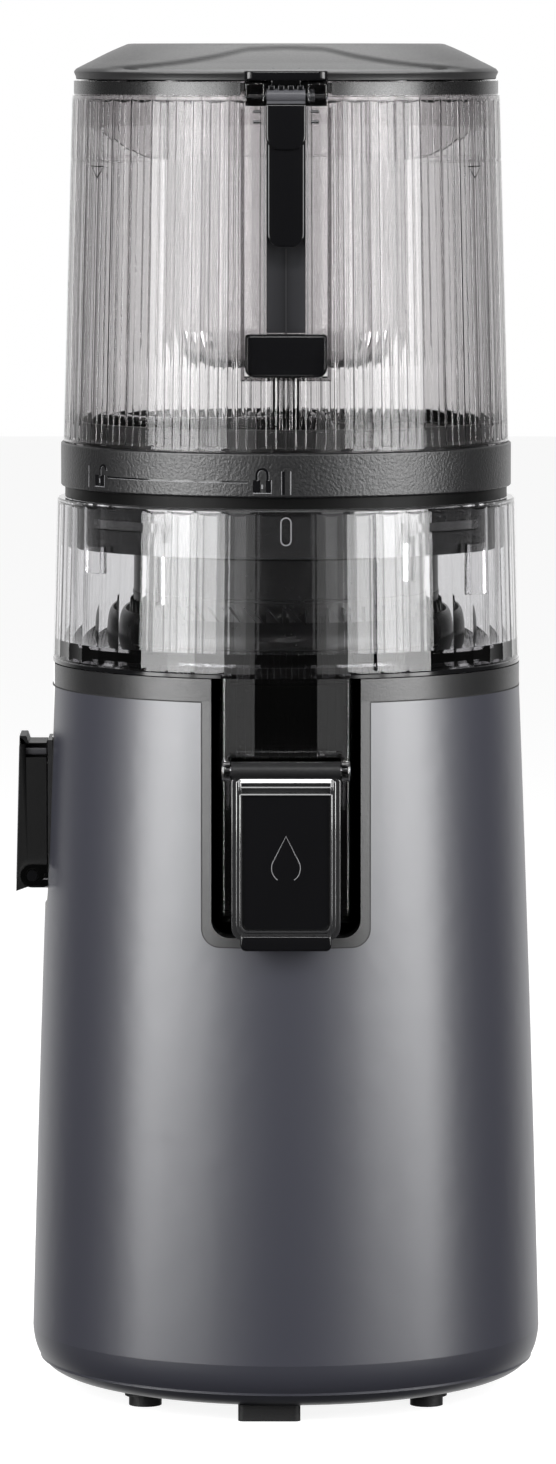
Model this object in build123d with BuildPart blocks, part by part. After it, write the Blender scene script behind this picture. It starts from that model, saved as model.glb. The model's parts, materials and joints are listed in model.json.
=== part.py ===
from build123d import *

import os
from math import acos, cos, pi, radians, sin, tan

# Upright slow juicer. The origin is on the centre line, level with the table.
# X runs to the right, Y to the back and Z up. All sizes are in millimetres.

# ---------------------------------------------------------------- driving sizes

# Heights, from the table up
foot_height = 5.5
base_cover_height = 15.5
body_height = 222.5
trim_band_height = 7.5
chamber_height = 56.2
groove_height = 4.0
collar_height = 15.0
hopper_height = 123.1
lid_height = 12.1

# Radii about the centre line
base_radius = 87.5
base_flat_radius = 73.0
shoulder_radius = 80.1
body_swell = 0.35
lid_flat_radius = 54.0
lid_bulge = 0.5

# Steps from one outside surface to the next, and the tapers between them
chamber_step = 0.2
chamber_taper = 1.5
collar_step = 1.3
hopper_step = 0.85
hopper_taper = 3.25
rim_step = 0.7
rim_height = 5.1
rim_ledge_width = 4.8
rim_ledge_drop = 3.0

# Walls
shell_wall = 2.5
cover_wall = 2.5
chamber_wall = 3.0
hopper_wall = 2.5
lid_wall = 2.5

# Clearances
running_gap = 0.3
easy_gap = 0.5
shaft_play = 0.05
fit_gap = 0.2
ear_gap = 0.4

# Feet
foot_radius = 7.0
foot_tread_radius = 5.6
foot_tread_height = 3.3
foot_stem_radius = 4.0
foot_inset = 23.0
foot_angles = (-42, 4, 50, 130, 176, 222)
block_width = 21.0
block_depth = 11.0
block_centre_x = -5.6
block_front_y = -75.0
block_corner = 2.0

# Well in the base and the slots cut down into it
seat_ledge = 8.1
well_depth = 90.0
well_wall = 2.5
spout_slot_half = 28.2
spout_slot_rise = 0.5
spout_slot_trim = 3.2
pulp_slot_half = 15.6
pulp_slot_rise = 4.0
pulp_slot_trim = 2.2
slot_corner = 6.0

# Juicing chamber
bayonet_drop = 8.5
ledge_width = 3.0
ledge_slope = 5.0
bowl_gap = 4.0
bowl_wall = 3.0
bowl_lift = 7.0
skirt_half = 21.6
skirt_rise = 10.3
outlet_half = 14.5
outlet_rise = 4.0
outlet_height = 38.0
nozzle_wall = 2.5
nozzle_reach = 0.85
nozzle_root = 2.0
outlet_depth = 6.0
chimney_gap = 1.0
chimney_wall = 3.0
chimney_rise = 14.0
hub_hole_gap = 3.0
pulp_skirt_half = 11.5
pulp_skirt_drop = 10.0
pulp_hole_half = 8.5
pulp_hole_rise = 13.0
pulp_hole_height = 33.5
gasket_inset = 0.75
gasket_stand = 0.1
gasket_thickness = 1.6
gasket_margin = 2.0
gasket_top_margin = 7.0

# Juice cap
cap_half = 18.2
cap_thickness = 7.8
cap_hang = 56.6
cap_lip = 3.2
cap_pivot_rise = 8.4
cap_barrel = 3.5
cap_pin_radius = 1.5
panel_half = 14.5
panel_height = 45.6
panel_thickness = 2.4
panel_drop = 7.2
panel_proud = 0.4
panel_corner = 2.5
cap_corner = 4.0
ear_thickness = 2.8

# Pulp lever
lever_half = 10.0
lever_length = 45.6
lever_depth = 8.0
lever_plate = 2.5
lever_overhang = 5.5
lever_barrel = 4.0
lever_pin_radius = 1.8
lever_barrel_gap = 1.0
lever_pivot_drop = 6.2
lever_ear_thickness = 2.4
plug_depth = 4.0
plug_margin = 1.0
plug_end_gap = 0.5

# Drive
hex_across = 12.0
drive_shaft_radius = 8.0
motor_shaft_radius = 4.0
axle_radius = 4.0
first_module = 1.0
pinion_teeth = 12
first_gear_teeth = 60
second_gear_teeth = 48
tooth_play = 0.22
pressure_angle = 20
root_depth = 1.25
tip_height = 0.95
stator_radius = 42.0
stator_height = 36.0
rotor_radius = 22.0
air_gap = 0.4
bearing_wall = 4.0
bearing_height = 7.0
gearbox_room = 4.0
gearbox_wall = 3.0

# Screws
screw_gap = 9.0
screw_wall = 3.0
screw_flare = 2.0
sweeper_gap = 8.9
slit_count = 24
slit_width = 1.6
rib_count = 3
wing_dome_radius = 19.5
wing_shaft_radius = 4.3
wing_gap = 11.4
post_across = 16.0

# Hopper fittings
collar_skirt_gap = 2.4
collar_skirt_drop = 20.5
collar_skirt_wall = 2.5
collar_edge_radius = 0.8
lug_span = 24
lug_count = 4
lug_reach = 2.0
lug_height = 3.2
twist_rest_angle = 45
floor_thickness = 3.0
floor_upstand = 7.5
upstand_wall = 2.0
floor_hole_radius = 24.0
feed_hole_radius = 30.0
feed_hole_edge = 7.5
channel_half = 13.8
channel_depth = 11.3
channel_wall = 1.2
channel_low_drop = 98.2
channel_high_drop = 8.6
bowl_radius = 41.3
bowl_depth = 97.3
bowl_corner = 15.0
feed_wall = 2.0
feed_spoke_half = 7.0
feed_spoke_angles = (40, 140, 220, 320)
bowl_ring_width = 3.0
ring_skirt_wall = 1.6
ring_skirt_height = 25.7
bracket_room = 1.5
bracket_back_room = 2.2
latch_half = 6.4
latch_thickness = 3.6
latch_length = 50.1
latch_pin_radius = 1.2
latch_pin_drop = 4.6
hinge_radius = 3.2
hinge_back = 4.2
hinge_drop = 2.1
hinge_pin_radius = 1.5
hinge_half = 13.6
hinge_ear = 6.0
hinge_ear_drop = 0.1
hinge_root = 3.0

# Power knob
knob_z = 72.0
knob_radius = 14.0
knob_depth = 9.8
knob_shaft_radius = 3.0

# ---------------------------------------------------------------- worked-out levels and radii

seam_z = foot_height + base_cover_height
body_top_z = seam_z + body_height
trim_top_z = body_top_z + trim_band_height
chamber_seat_z = trim_top_z + running_gap
chamber_top_z = chamber_seat_z + chamber_height
collar_low_z = chamber_top_z + groove_height
collar_top_z = collar_low_z + collar_height
hopper_top_z = collar_top_z + hopper_height
rim_low_z = hopper_top_z - rim_height
lid_low_z = hopper_top_z + running_gap
lid_top_z = lid_low_z + lid_height

chamber_low_radius = shoulder_radius - chamber_step
chamber_high_radius = chamber_low_radius - chamber_taper
collar_radius = chamber_high_radius - collar_step
hopper_low_radius = collar_radius - hopper_step
hopper_high_radius = hopper_low_radius - hopper_taper
rim_radius = hopper_high_radius - rim_step
channel_back_y = -rim_radius + channel_depth

floor_z = foot_height + cover_wall
well_radius = shoulder_radius - seat_ledge
well_floor_z = trim_top_z - well_depth
bowl_outer = well_radius - bowl_gap
bowl_inner = bowl_outer - bowl_wall
bowl_low_z = well_floor_z + bowl_lift
bowl_floor_z = bowl_low_z + bowl_wall

foot_circle = base_radius - foot_inset
collar_skirt_radius = chamber_high_radius - chamber_wall - collar_skirt_gap
centre_distance = first_module * (pinion_teeth + first_gear_teeth) / 2
second_module = 2 * centre_distance / (pinion_teeth + second_gear_teeth)
gearbox_radius = centre_distance + first_module * (first_gear_teeth / 2 + 1) + gearbox_room + gearbox_wall

# Farther out than any surface, and how far a cut or a joined root runs past the face where it starts
far = 2 * (base_radius + shoulder_radius)
overrun = 1.0

BOTTOM = (Align.CENTER, Align.CENTER, Align.MIN)


def body_radius_at(z):
    """Outer radius of the body's side wall at a height: a taper with a slight swell."""
    share = (z - seam_z) / body_height
    taper = (shoulder_radius - base_radius) * share
    return base_radius + taper + 4 * body_swell * share * (1 - share)


# ---------------------------------------------------------------- shapes used by many pieces


def disc(radius, low, high, mode=Mode.ADD):
    """A disc about the centre line between two heights."""
    with Locations((0, 0, low)):
        Cylinder(radius, high - low, align=BOTTOM, mode=mode)


def tube(outer, inner, low, high, mode=Mode.ADD):
    """A ring about the centre line between two heights."""
    with BuildSketch(Plane.XY.offset(low)) as ring:
        Circle(outer)
        Circle(inner, mode=Mode.SUBTRACT)
    extrude(ring.sketch, amount=high - low, mode=mode)


def block(x, y, z, mode=Mode.ADD):
    """A box between two values of each of x, y and z."""
    with Locations(((x[0] + x[1]) / 2, (y[0] + y[1]) / 2, (z[0] + z[1]) / 2)):
        Box(x[1] - x[0], y[1] - y[0], z[1] - z[0], mode=mode)


def rod_x(x, y, z, radius, mode=Mode.ADD):
    """A round rod along X between two values of x."""
    with Locations(Location(((x[0] + x[1]) / 2, y, z), (0, 90, 0))):
        Cylinder(radius, x[1] - x[0], mode=mode)


def rod_y(x, y, z, radius, mode=Mode.ADD):
    """A round rod along Y between two values of y."""
    with Locations(Location((x, (y[0] + y[1]) / 2, z), (90, 0, 0))):
        Cylinder(radius, y[1] - y[0], mode=mode)


def rod_z(x, y, radius, low, high, mode=Mode.ADD):
    """A round rod along Z between two heights."""
    with Locations((x, y, low)):
        Cylinder(radius, high - low, align=BOTTOM, mode=mode)


def turned(points, mode=Mode.ADD):
    """A solid turned about the centre line from an outline of (radius, height) points."""
    with BuildSketch(Plane.XZ) as section:
        with BuildLine():
            Polyline(*points, close=True)
        make_face()
    revolve(section.sketch, axis=Axis.Z, mode=mode)


def body_outline(inset, low, high, mode=Mode.ADD):
    """The space inside the body's side wall, drawn in by inset, between two heights."""
    middle = (low + high) / 2
    with BuildSketch(Plane.XZ) as section:
        with BuildLine():
            side = ThreePointArc(
                (body_radius_at(low) - inset, low),
                (body_radius_at(middle) - inset, middle),
                (body_radius_at(high) - inset, high),
            )
            Polyline(side @ 1, (0, high), (0, low), side @ 0)
        make_face()
    revolve(section.sketch, axis=Axis.Z, mode=mode)


def front_slot(half_width, low, high, mode):
    """A slot with rounded lower corners, cut from the centre line out to the front."""
    with BuildSketch(Plane.XZ) as opening:
        with Locations((0, (low + high) / 2)):
            Rectangle(2 * half_width, high - low)
        fillet(opening.vertices().group_by(Axis.Z)[0], slot_corner)
    extrude(opening.sketch, amount=far, mode=mode)


def left_slot(half_width, low, high, mode):
    """A slot with rounded lower corners, cut from the centre line out to the left."""
    with BuildSketch(Plane.YZ) as opening:
        with Locations((0, (low + high) / 2)):
            Rectangle(2 * half_width, high - low)
        fillet(opening.vertices().group_by(Axis.Z)[0], slot_corner)
    extrude(opening.sketch, amount=-far, mode=mode)


def ring_sector(outer, inner, low, height, span, angle, mode=Mode.ADD):
    """Part of a ring about the centre line, span degrees wide and centred on an angle."""
    with BuildSketch(Plane.XZ) as section:
        with Locations(((outer + inner) / 2, low + height / 2)):
            Rectangle(outer - inner, height)
    turned_section = section.sketch.rotate(Axis.Z, angle - span / 2)
    revolve(turned_section, axis=Axis.Z, revolution_arc=span, mode=mode)


def hexagon(across, low, high, mode=Mode.ADD):
    """A six-sided prism about the centre line."""
    with BuildSketch(Plane.XY.offset(low)) as section:
        RegularPolygon(across / 2, 6, major_radius=False)
    extrude(section.sketch, amount=high - low, mode=mode)


def flank_angle(radius, teeth, module):
    """Half the angle that an involute tooth covers at a radius, less its play."""
    base = teeth * module / 2 * cos(radians(pressure_angle))
    slope = acos(min(1.0, base / radius))
    pitch_slope = radians(pressure_angle)
    narrowing = (tan(slope) - slope) - (tan(pitch_slope) - pitch_slope)
    return pi / (2 * teeth) - narrowing - tooth_play / (2 * radius)


def gear(teeth, module, x, low, high, turn):
    """A spur gear on an axis parallel to Z at x, with a tooth at the angle turn."""
    pitch_radius = teeth * module / 2
    radii = (pitch_radius - root_depth * module, pitch_radius, pitch_radius + tip_height * module)
    points = []
    for tooth in range(teeth):
        centre = radians(turn) + 2 * pi * tooth / teeth
        for side, order in ((-1, radii), (1, reversed(radii))):
            for radius in order:
                angle = centre + side * flank_angle(radius, teeth, module)
                points.append((x + radius * cos(angle), radius * sin(angle)))
    with BuildSketch(Plane.XY.offset(low)) as section:
        with BuildLine():
            Polyline(*points, close=True)
        make_face()
    extrude(section.sketch, amount=high - low)


os.makedirs("parts", exist_ok=True)

# ---------------------------------------------------------------- base: feet and covers

slot_low_z = well_floor_z + spout_slot_rise
pulp_slot_low_z = well_floor_z + pulp_slot_rise
foot_stem = cover_wall

with BuildPart() as rubber_feet:
    for angle in foot_angles:
        foot_x = foot_circle * cos(radians(angle))
        foot_y = foot_circle * sin(radians(angle))
        rod_z(foot_x, foot_y, foot_radius, foot_tread_height, foot_height)
        rod_z(foot_x, foot_y, foot_tread_radius, 0, foot_height)
        rod_z(foot_x, foot_y, foot_stem_radius, 0, foot_height + foot_stem)
rubber_feet.part.label = "rubber_feet"
export_step(rubber_feet.part, "parts/rubber_feet.step")

block_x = (block_centre_x - block_width / 2, block_centre_x + block_width / 2)
block_y = (block_front_y, block_front_y + block_depth)

with BuildPart() as front_foot_block:
    block(block_x, block_y, (0, foot_height))
    fillet(front_foot_block.edges().filter_by(Axis.Z), block_corner)
front_foot_block.part.label = "front_foot_block"
export_step(front_foot_block.part, "parts/front_foot_block.step")

# Posts stand on the base cover and carry the gearbox through rubber mounts
post_inset = 21.5
post_radius = 6.0
post_angles = (27, 153, 207, 333)
mount_height = 4.0
screw_shank = 2.0
screw_head = 4.0
screw_head_height = 3.0
screw_length = 26.0
screw_recess = 0.4
motor_lift = 18.0
stator_lift = 16.0
winding_height = 8.0
winding_room = 4.0
gearbox_plate = 5.0
cover_lip = 4.0
cover_lean = 0.05
cover_ring_wall = 3.5
vent_circle = 35.0
vent_count = 24
vent_length = 24.0
vent_width = 3.0
board_y = 56.0
board_lift = 8.0
board_rib_x = 23.0
board_rib_half = 3.0
board_rib_front = 3.0
board_rib_back = 5.0

motor_low_z = floor_z + motor_lift
stator_low_z = motor_low_z + stator_lift
stator_top_z = stator_low_z + stator_height
gearbox_low_z = stator_top_z + winding_height + winding_room
post_top_z = gearbox_low_z - mount_height
board_low_z = motor_low_z + board_lift

post_circle = base_radius - post_inset
post_places = [
    (post_circle * cos(radians(angle)), post_circle * sin(radians(angle)))
    for angle in post_angles
]

with BuildPart() as base_cover:
    with BuildSketch(Plane.XZ):
        with BuildLine():
            side = Spline(
                (base_flat_radius, foot_height),
                (base_radius, seam_z),
                tangents=((1, 0), (cover_lean, 1)),
            )
            Polyline(side @ 1, (0, seam_z), (0, foot_height), side @ 0)
        make_face()
    revolve(axis=Axis.Z)
    disc(base_flat_radius - cover_wall, floor_z, seam_z + overrun, mode=Mode.SUBTRACT)
    tube(base_radius - shell_wall, base_flat_radius - cover_wall, floor_z + cover_wall, seam_z)
    ring_inner = base_radius - shell_wall - cover_ring_wall
    disc(ring_inner, floor_z + 2 * cover_wall, seam_z + overrun, mode=Mode.SUBTRACT)
    lip_radius = body_radius_at(seam_z + cover_lip) - shell_wall - fit_gap
    tube(lip_radius, lip_radius - shell_wall, floor_z + 2 * cover_wall, seam_z + cover_lip)
    for x, y in post_places:
        rod_z(x, y, post_radius, floor_z - cover_wall, post_top_z)
        rod_z(x, y, screw_head + fit_gap, foot_height, foot_height + screw_head_height, mode=Mode.SUBTRACT)
        rod_z(x, y, screw_shank, foot_height, foot_height + screw_length, mode=Mode.SUBTRACT)
    for angle in foot_angles:
        with Locations((foot_circle * cos(radians(angle)), foot_circle * sin(radians(angle)), foot_height)):
            Cylinder(foot_stem_radius, foot_stem, align=BOTTOM, mode=Mode.SUBTRACT)
    with BuildSketch(Plane.XY.offset(foot_height)):
        with PolarLocations(vent_circle, vent_count):
            SlotOverall(vent_length, vent_width)
    extrude(amount=cover_wall, mode=Mode.SUBTRACT)
    for side in (-1, 1):
        rib_x = (side * board_rib_x - board_rib_half, side * board_rib_x + board_rib_half)
        block(rib_x, (board_y - board_rib_front, board_y + board_rib_back), (floor_z, board_low_z))
base_cover.part.label = "base_cover"
export_step(base_cover.part, "parts/base_cover.step")

with BuildPart() as base_screws:
    for x, y in post_places:
        rod_z(x, y, screw_head, foot_height + screw_recess, foot_height + screw_head_height)
        rod_z(x, y, screw_shank, foot_height + screw_recess, foot_height + screw_length)
base_screws.part.label = "base_screws"
export_step(base_screws.part, "parts/base_screws.step")

gland_z = 38.0
gland_radius = 7.0
gland_bore = 3.4

with BuildPart() as body_shell:
    body_outline(0, seam_z, body_top_z)
    body_outline(shell_wall, seam_z, body_top_z, mode=Mode.SUBTRACT)
    rod_y(0, (0, far / 2), knob_z, knob_shaft_radius + easy_gap, Mode.SUBTRACT)
    rod_y(0, (0, far / 2), gland_z, gland_radius, Mode.SUBTRACT)
    front_slot(spout_slot_half, slot_low_z, body_top_z + slot_corner, Mode.SUBTRACT)
    left_slot(pulp_slot_half, pulp_slot_low_z, body_top_z + slot_corner, Mode.SUBTRACT)
body_shell.part.label = "body_shell"
export_step(body_shell.part, "parts/body_shell.step")

# The well liner is the black band, the slot frames and the cup behind them
liner_boss_radius = 16.0
liner_boss_height = 9.0
liner_floor = 3.0
seal_seat_radius = 12.0
seal_height = 5.0
column_radius = 4.0
column_circle = 60.0
column_count = 4
column_height = 6.0

liner_boss_top_z = well_floor_z + liner_boss_height
liner_low_z = well_floor_z - liner_floor
cover_top_z = liner_low_z - column_height
spout_slot_inner = spout_slot_half - spout_slot_trim
pulp_slot_inner = pulp_slot_half - pulp_slot_trim

with BuildPart() as well_liner:
    front_slot(spout_slot_half, slot_low_z, body_top_z + slot_corner, Mode.ADD)
    left_slot(pulp_slot_half, pulp_slot_low_z, body_top_z + slot_corner, Mode.ADD)
    body_outline(0, seam_z, body_top_z, mode=Mode.INTERSECT)
    disc(well_radius + well_wall, liner_low_z, body_top_z)
    disc(shoulder_radius, body_top_z, trim_top_z)
    disc(well_radius, well_floor_z, trim_top_z + overrun, mode=Mode.SUBTRACT)
    front_slot(spout_slot_inner, slot_low_z + spout_slot_trim, trim_top_z + slot_corner, Mode.SUBTRACT)
    left_slot(pulp_slot_inner, pulp_slot_low_z + pulp_slot_trim, trim_top_z + slot_corner, Mode.SUBTRACT)
    disc(liner_boss_radius, liner_low_z, liner_boss_top_z)
    with Locations((0, 0, cover_top_z)):
        with PolarLocations(column_circle, column_count, start_angle=45):
            Cylinder(column_radius, liner_low_z - cover_top_z, align=BOTTOM)
    disc(drive_shaft_radius + easy_gap, 0, liner_boss_top_z + overrun, mode=Mode.SUBTRACT)
    disc(seal_seat_radius, liner_boss_top_z - seal_height, liner_boss_top_z + overrun, mode=Mode.SUBTRACT)
well_liner.part.label = "well_liner"
export_step(well_liner.part, "parts/well_liner.step")

with BuildPart() as shaft_seal:
    seal_low_z = liner_boss_top_z - seal_height
    tube(seal_seat_radius, drive_shaft_radius + shaft_play, seal_low_z, liner_boss_top_z)
shaft_seal.part.label = "shaft_seal"
export_step(shaft_seal.part, "parts/shaft_seal.step")

# ---------------------------------------------------------------- motor

fan_lift = 4.0
fan_height = 9.0
fan_radius = 34.0
fan_plate = 1.5
fan_hub_radius = 9.0
blade_count = 9
blade_circle = 21.0
blade_length = 24.0
blade_thickness = 1.5
blade_turn = 25
end_ring_inset = 2.0
end_ring_bore_inset = 6.0
end_ring_height = 3.0
stator_ear_reach = 5.0
stator_ear_radius = 6.5
winding_outer_inset = 4.0
winding_inner_inset = 2.0
winding_round = 3.0
bolt_count = 4
bolt_radius = 2.0
bolt_head_height = 3.0
bracket_plate = 4.0
bracket_boss_wall = 4.0
bracket_arm_width = 11.0
bracket_post_radius = 5.5
first_gear_width = 10.0
pinion_lift = 3.0
pinion_extra = 1.0

fan_low_z = floor_z + fan_lift
bearing_outer = motor_shaft_radius + bearing_wall
stator_bore = rotor_radius + air_gap
bolt_circle = stator_radius + stator_ear_reach
pinion_low_z = gearbox_low_z + gearbox_plate + pinion_lift
pinion_top_z = pinion_low_z + first_gear_width + pinion_extra

with BuildPart() as motor_shaft:
    disc(motor_shaft_radius, fan_low_z, pinion_top_z)
motor_shaft.part.label = "motor_shaft"
export_step(motor_shaft.part, "parts/motor_shaft.step")

with BuildPart() as cooling_fan:
    disc(fan_radius, fan_low_z, fan_low_z + fan_plate)
    disc(fan_hub_radius, fan_low_z, fan_low_z + fan_height)
    with Locations((0, 0, fan_low_z)):
        with PolarLocations(blade_circle, blade_count):
            Box(blade_length, blade_thickness, fan_height, rotation=(0, 0, blade_turn), align=BOTTOM)
    disc(motor_shaft_radius, 0, fan_low_z + fan_height + overrun, mode=Mode.SUBTRACT)
cooling_fan.part.label = "cooling_fan"
export_step(cooling_fan.part, "parts/cooling_fan.step")

with BuildPart() as rotor_core:
    tube(rotor_radius, motor_shaft_radius, stator_low_z, stator_top_z)
    tube(rotor_radius - end_ring_inset, motor_shaft_radius + end_ring_bore_inset,
         stator_low_z - end_ring_height, stator_top_z + end_ring_height)
rotor_core.part.label = "rotor_core"
export_step(rotor_core.part, "parts/rotor_core.step")

with BuildPart() as stator_core:
    tube(stator_radius, stator_bore, stator_low_z, stator_top_z)
    with Locations((0, 0, stator_low_z)):
        with PolarLocations(bolt_circle, bolt_count):
            Cylinder(stator_ear_radius, stator_height, align=BOTTOM)
        with PolarLocations(bolt_circle, bolt_count):
            Cylinder(bolt_radius, stator_height, align=BOTTOM, mode=Mode.SUBTRACT)
stator_core.part.label = "stator_core"
export_step(stator_core.part, "parts/stator_core.step")

with BuildPart() as stator_windings:
    winding_outer = stator_radius - winding_outer_inset
    winding_inner = stator_bore + winding_inner_inset
    tube(winding_outer, winding_inner, stator_low_z - winding_height, stator_low_z)
    tube(winding_outer, winding_inner, stator_top_z, stator_top_z + winding_height)
    ring_edges = stator_windings.edges().filter_by(GeomType.CIRCLE).sort_by(Axis.Z)
    fillet(ring_edges[:2] + ring_edges[-2:], winding_round)
stator_windings.part.label = "stator_windings"
export_step(stator_windings.part, "parts/stator_windings.step")

with BuildPart() as motor_bracket:
    disc(bearing_outer + bracket_boss_wall, motor_low_z, motor_low_z + bearing_height)
    for angle in (0, 90):
        with Locations(Location((0, 0, motor_low_z), (0, 0, angle))):
            Box(2 * bolt_circle, bracket_arm_width, bracket_plate, align=BOTTOM)
    with Locations((0, 0, motor_low_z)):
        with PolarLocations(bolt_circle, bolt_count):
            Cylinder(bracket_post_radius, stator_low_z - motor_low_z, align=BOTTOM)
        with PolarLocations(bolt_circle, bolt_count):
            Cylinder(bolt_radius, stator_low_z - motor_low_z, align=BOTTOM, mode=Mode.SUBTRACT)
    disc(bearing_outer, 0, stator_low_z, mode=Mode.SUBTRACT)
motor_bracket.part.label = "motor_bracket"
export_step(motor_bracket.part, "parts/motor_bracket.step")

with BuildPart() as motor_bearings:
    bore = motor_shaft_radius + shaft_play
    tube(bearing_outer, bore, motor_low_z, motor_low_z + bearing_height)
    tube(bearing_outer, bore, gearbox_low_z, gearbox_low_z + bearing_height)
motor_bearings.part.label = "motor_bearings"
export_step(motor_bearings.part, "parts/motor_bearings.step")

with BuildPart() as motor_bolts:
    for x, y in ((bolt_circle, 0), (0, bolt_circle), (-bolt_circle, 0), (0, -bolt_circle)):
        rod_z(x, y, 2 * bolt_radius, motor_low_z - bolt_head_height, motor_low_z)
        rod_z(x, y, bolt_radius, motor_low_z - bolt_head_height, gearbox_low_z + gearbox_plate)
motor_bolts.part.label = "motor_bolts"
export_step(motor_bolts.part, "parts/motor_bolts.step")

# ---------------------------------------------------------------- gearbox

second_gear_lift = 3.0
second_gear_width = 14.0
gearbox_head_room = 4.0
gearbox_cover_plate = 4.0
case_boss_wall = 3.0
output_boss_wall = 4.0
column_foot_radius = 6.0
axle_collar_radius = 6.0
drive_rise = 37.0
drive_foot_gap = 1.5
drive_chamfer = 1.0

second_low_z = pinion_top_z + second_gear_lift
second_top_z = second_low_z + second_gear_width
cover_low_z = second_top_z + gearbox_head_room
cover_high_z = cover_low_z + gearbox_cover_plate
output_bearing_outer = drive_shaft_radius + bearing_wall

with BuildPart() as vibration_mounts:
    for x, y in post_places:
        rod_z(x, y, post_radius, post_top_z, gearbox_low_z)
vibration_mounts.part.label = "vibration_mounts"
export_step(vibration_mounts.part, "parts/vibration_mounts.step")

with BuildPart() as gearbox_case:
    disc(gearbox_radius, gearbox_low_z, gearbox_low_z + gearbox_plate)
    tube(gearbox_radius, gearbox_radius - gearbox_wall, gearbox_low_z, cover_low_z)
    disc(bearing_outer + case_boss_wall, gearbox_low_z, gearbox_low_z + bearing_height)
    disc(bearing_outer, 0, gearbox_low_z + bearing_height, mode=Mode.SUBTRACT)
    with Locations((0, 0, gearbox_low_z)):
        with PolarLocations(bolt_circle, bolt_count):
            Cylinder(bolt_radius, gearbox_plate, align=BOTTOM, mode=Mode.SUBTRACT)
    rod_z(centre_distance, 0, axle_radius, gearbox_low_z, gearbox_low_z + gearbox_plate, mode=Mode.SUBTRACT)
gearbox_case.part.label = "gearbox_case"
export_step(gearbox_case.part, "parts/gearbox_case.step")

with BuildPart() as gearbox_cover:
    disc(gearbox_radius, cover_low_z, cover_high_z)
    disc(output_bearing_outer + output_boss_wall, cover_low_z, cover_top_z)
    with Locations((0, 0, cover_low_z)):
        with PolarLocations(column_circle, column_count, start_angle=45):
            Cylinder(column_foot_radius, cover_top_z - cover_low_z, align=BOTTOM)
    disc(output_bearing_outer, 0, cover_top_z + overrun, mode=Mode.SUBTRACT)
    rod_z(centre_distance, 0, axle_radius, cover_low_z, cover_high_z, mode=Mode.SUBTRACT)
gearbox_cover.part.label = "gearbox_cover"
export_step(gearbox_cover.part, "parts/gearbox_cover.step")

with BuildPart() as output_bearings:
    bore = drive_shaft_radius + shaft_play
    tube(output_bearing_outer, bore, cover_low_z, cover_low_z + bearing_height)
    tube(output_bearing_outer, bore, cover_top_z - bearing_height, cover_top_z)
output_bearings.part.label = "output_bearings"
export_step(output_bearings.part, "parts/output_bearings.step")

with BuildPart() as motor_pinion:
    gear(pinion_teeth, first_module, 0, pinion_low_z, pinion_top_z, 0)
    disc(motor_shaft_radius, 0, pinion_top_z + overrun, mode=Mode.SUBTRACT)
motor_pinion.part.label = "motor_pinion"
export_step(motor_pinion.part, "parts/motor_pinion.step")

with BuildPart() as cluster_gear:
    first_low_z = pinion_low_z + pinion_extra / 2
    first_top_z = first_low_z + first_gear_width
    gear(first_gear_teeth, first_module, centre_distance, first_low_z, first_top_z, 180 / first_gear_teeth)
    gear(pinion_teeth, second_module, centre_distance, first_top_z, second_top_z, 0)
    rod_z(centre_distance, 0, axle_radius + shaft_play, 0, second_top_z + overrun, mode=Mode.SUBTRACT)
cluster_gear.part.label = "cluster_gear"
export_step(cluster_gear.part, "parts/cluster_gear.step")

with BuildPart() as cluster_axle:
    rod_z(centre_distance, 0, axle_radius, gearbox_low_z, cover_high_z)
    rod_z(centre_distance, 0, axle_collar_radius, gearbox_low_z + gearbox_plate, first_low_z - running_gap)
cluster_axle.part.label = "cluster_axle"
export_step(cluster_axle.part, "parts/cluster_axle.step")

drive_top_z = well_floor_z + drive_rise
drive_low_z = pinion_top_z + drive_foot_gap

with BuildPart() as output_gear:
    gear(second_gear_teeth, second_module, 0, second_low_z, second_top_z, 180 / second_gear_teeth)
    disc(drive_shaft_radius, 0, second_top_z + overrun, mode=Mode.SUBTRACT)
output_gear.part.label = "output_gear"
export_step(output_gear.part, "parts/output_gear.step")

with BuildPart() as drive_shaft:
    disc(drive_shaft_radius, drive_low_z, liner_boss_top_z + drive_chamfer)
    hexagon(hex_across, liner_boss_top_z, drive_top_z)
    chamfer(drive_shaft.faces().sort_by(Axis.Z)[-1].edges(), drive_chamfer)
drive_shaft.part.label = "drive_shaft"
export_step(drive_shaft.part, "parts/drive_shaft.step")

# ---------------------------------------------------------------- electrics

switch_half = 12.0
switch_room = 2.0
switch_bore = 12.0
board_half = 28.0
board_thickness = 1.6
relay_x = (-24.0, -14.0)
relay_height = 4.0
relay_z = (knob_z - 8.0, knob_z + 6.0)
chip_x = (8.0, 22.0)
chip_height = 3.0
chip_z = (knob_z - 4.0, knob_z + 6.0)
capacitor_radius = 10.0
capacitor_height = 38.0
capacitor_round = 1.5
capacitor_x = -40.0
capacitor_y = 38.0
gland_inside = 10.0
gland_outside = 4.0
gland_flange = 1.5
gland_flange_reach = 2.0
sensor_half = 7.0
sensor_depth = 2.5
sensor_height = 10.0
sensor_drop = 2.0
knob_round = 1.5
knob_plate = 3.0
knob_disc = 5.0
grip_half = 2.5
grip_inset = 0.5

knob_wall_y = max(body_radius_at(knob_z - knob_radius), body_radius_at(knob_z + knob_radius))
knob_back_y = knob_wall_y + easy_gap
switch_wall_y = min(body_radius_at(knob_z - switch_half), body_radius_at(knob_z + switch_half))
switch_back_y = switch_wall_y - shell_wall - switch_room
board_top_z = knob_z + switch_half
gland_wall_y = body_radius_at(gland_z)

with BuildPart() as rotary_switch:
    switch_y = (board_y + board_thickness, switch_back_y)
    block((-switch_half, switch_half), switch_y, (knob_z - switch_half, board_top_z))
    bore_y = (switch_back_y - switch_bore, switch_back_y)
    rod_y(0, bore_y, knob_z, knob_shaft_radius + shaft_play, Mode.SUBTRACT)
rotary_switch.part.label = "rotary_switch"
export_step(rotary_switch.part, "parts/rotary_switch.step")

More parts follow.
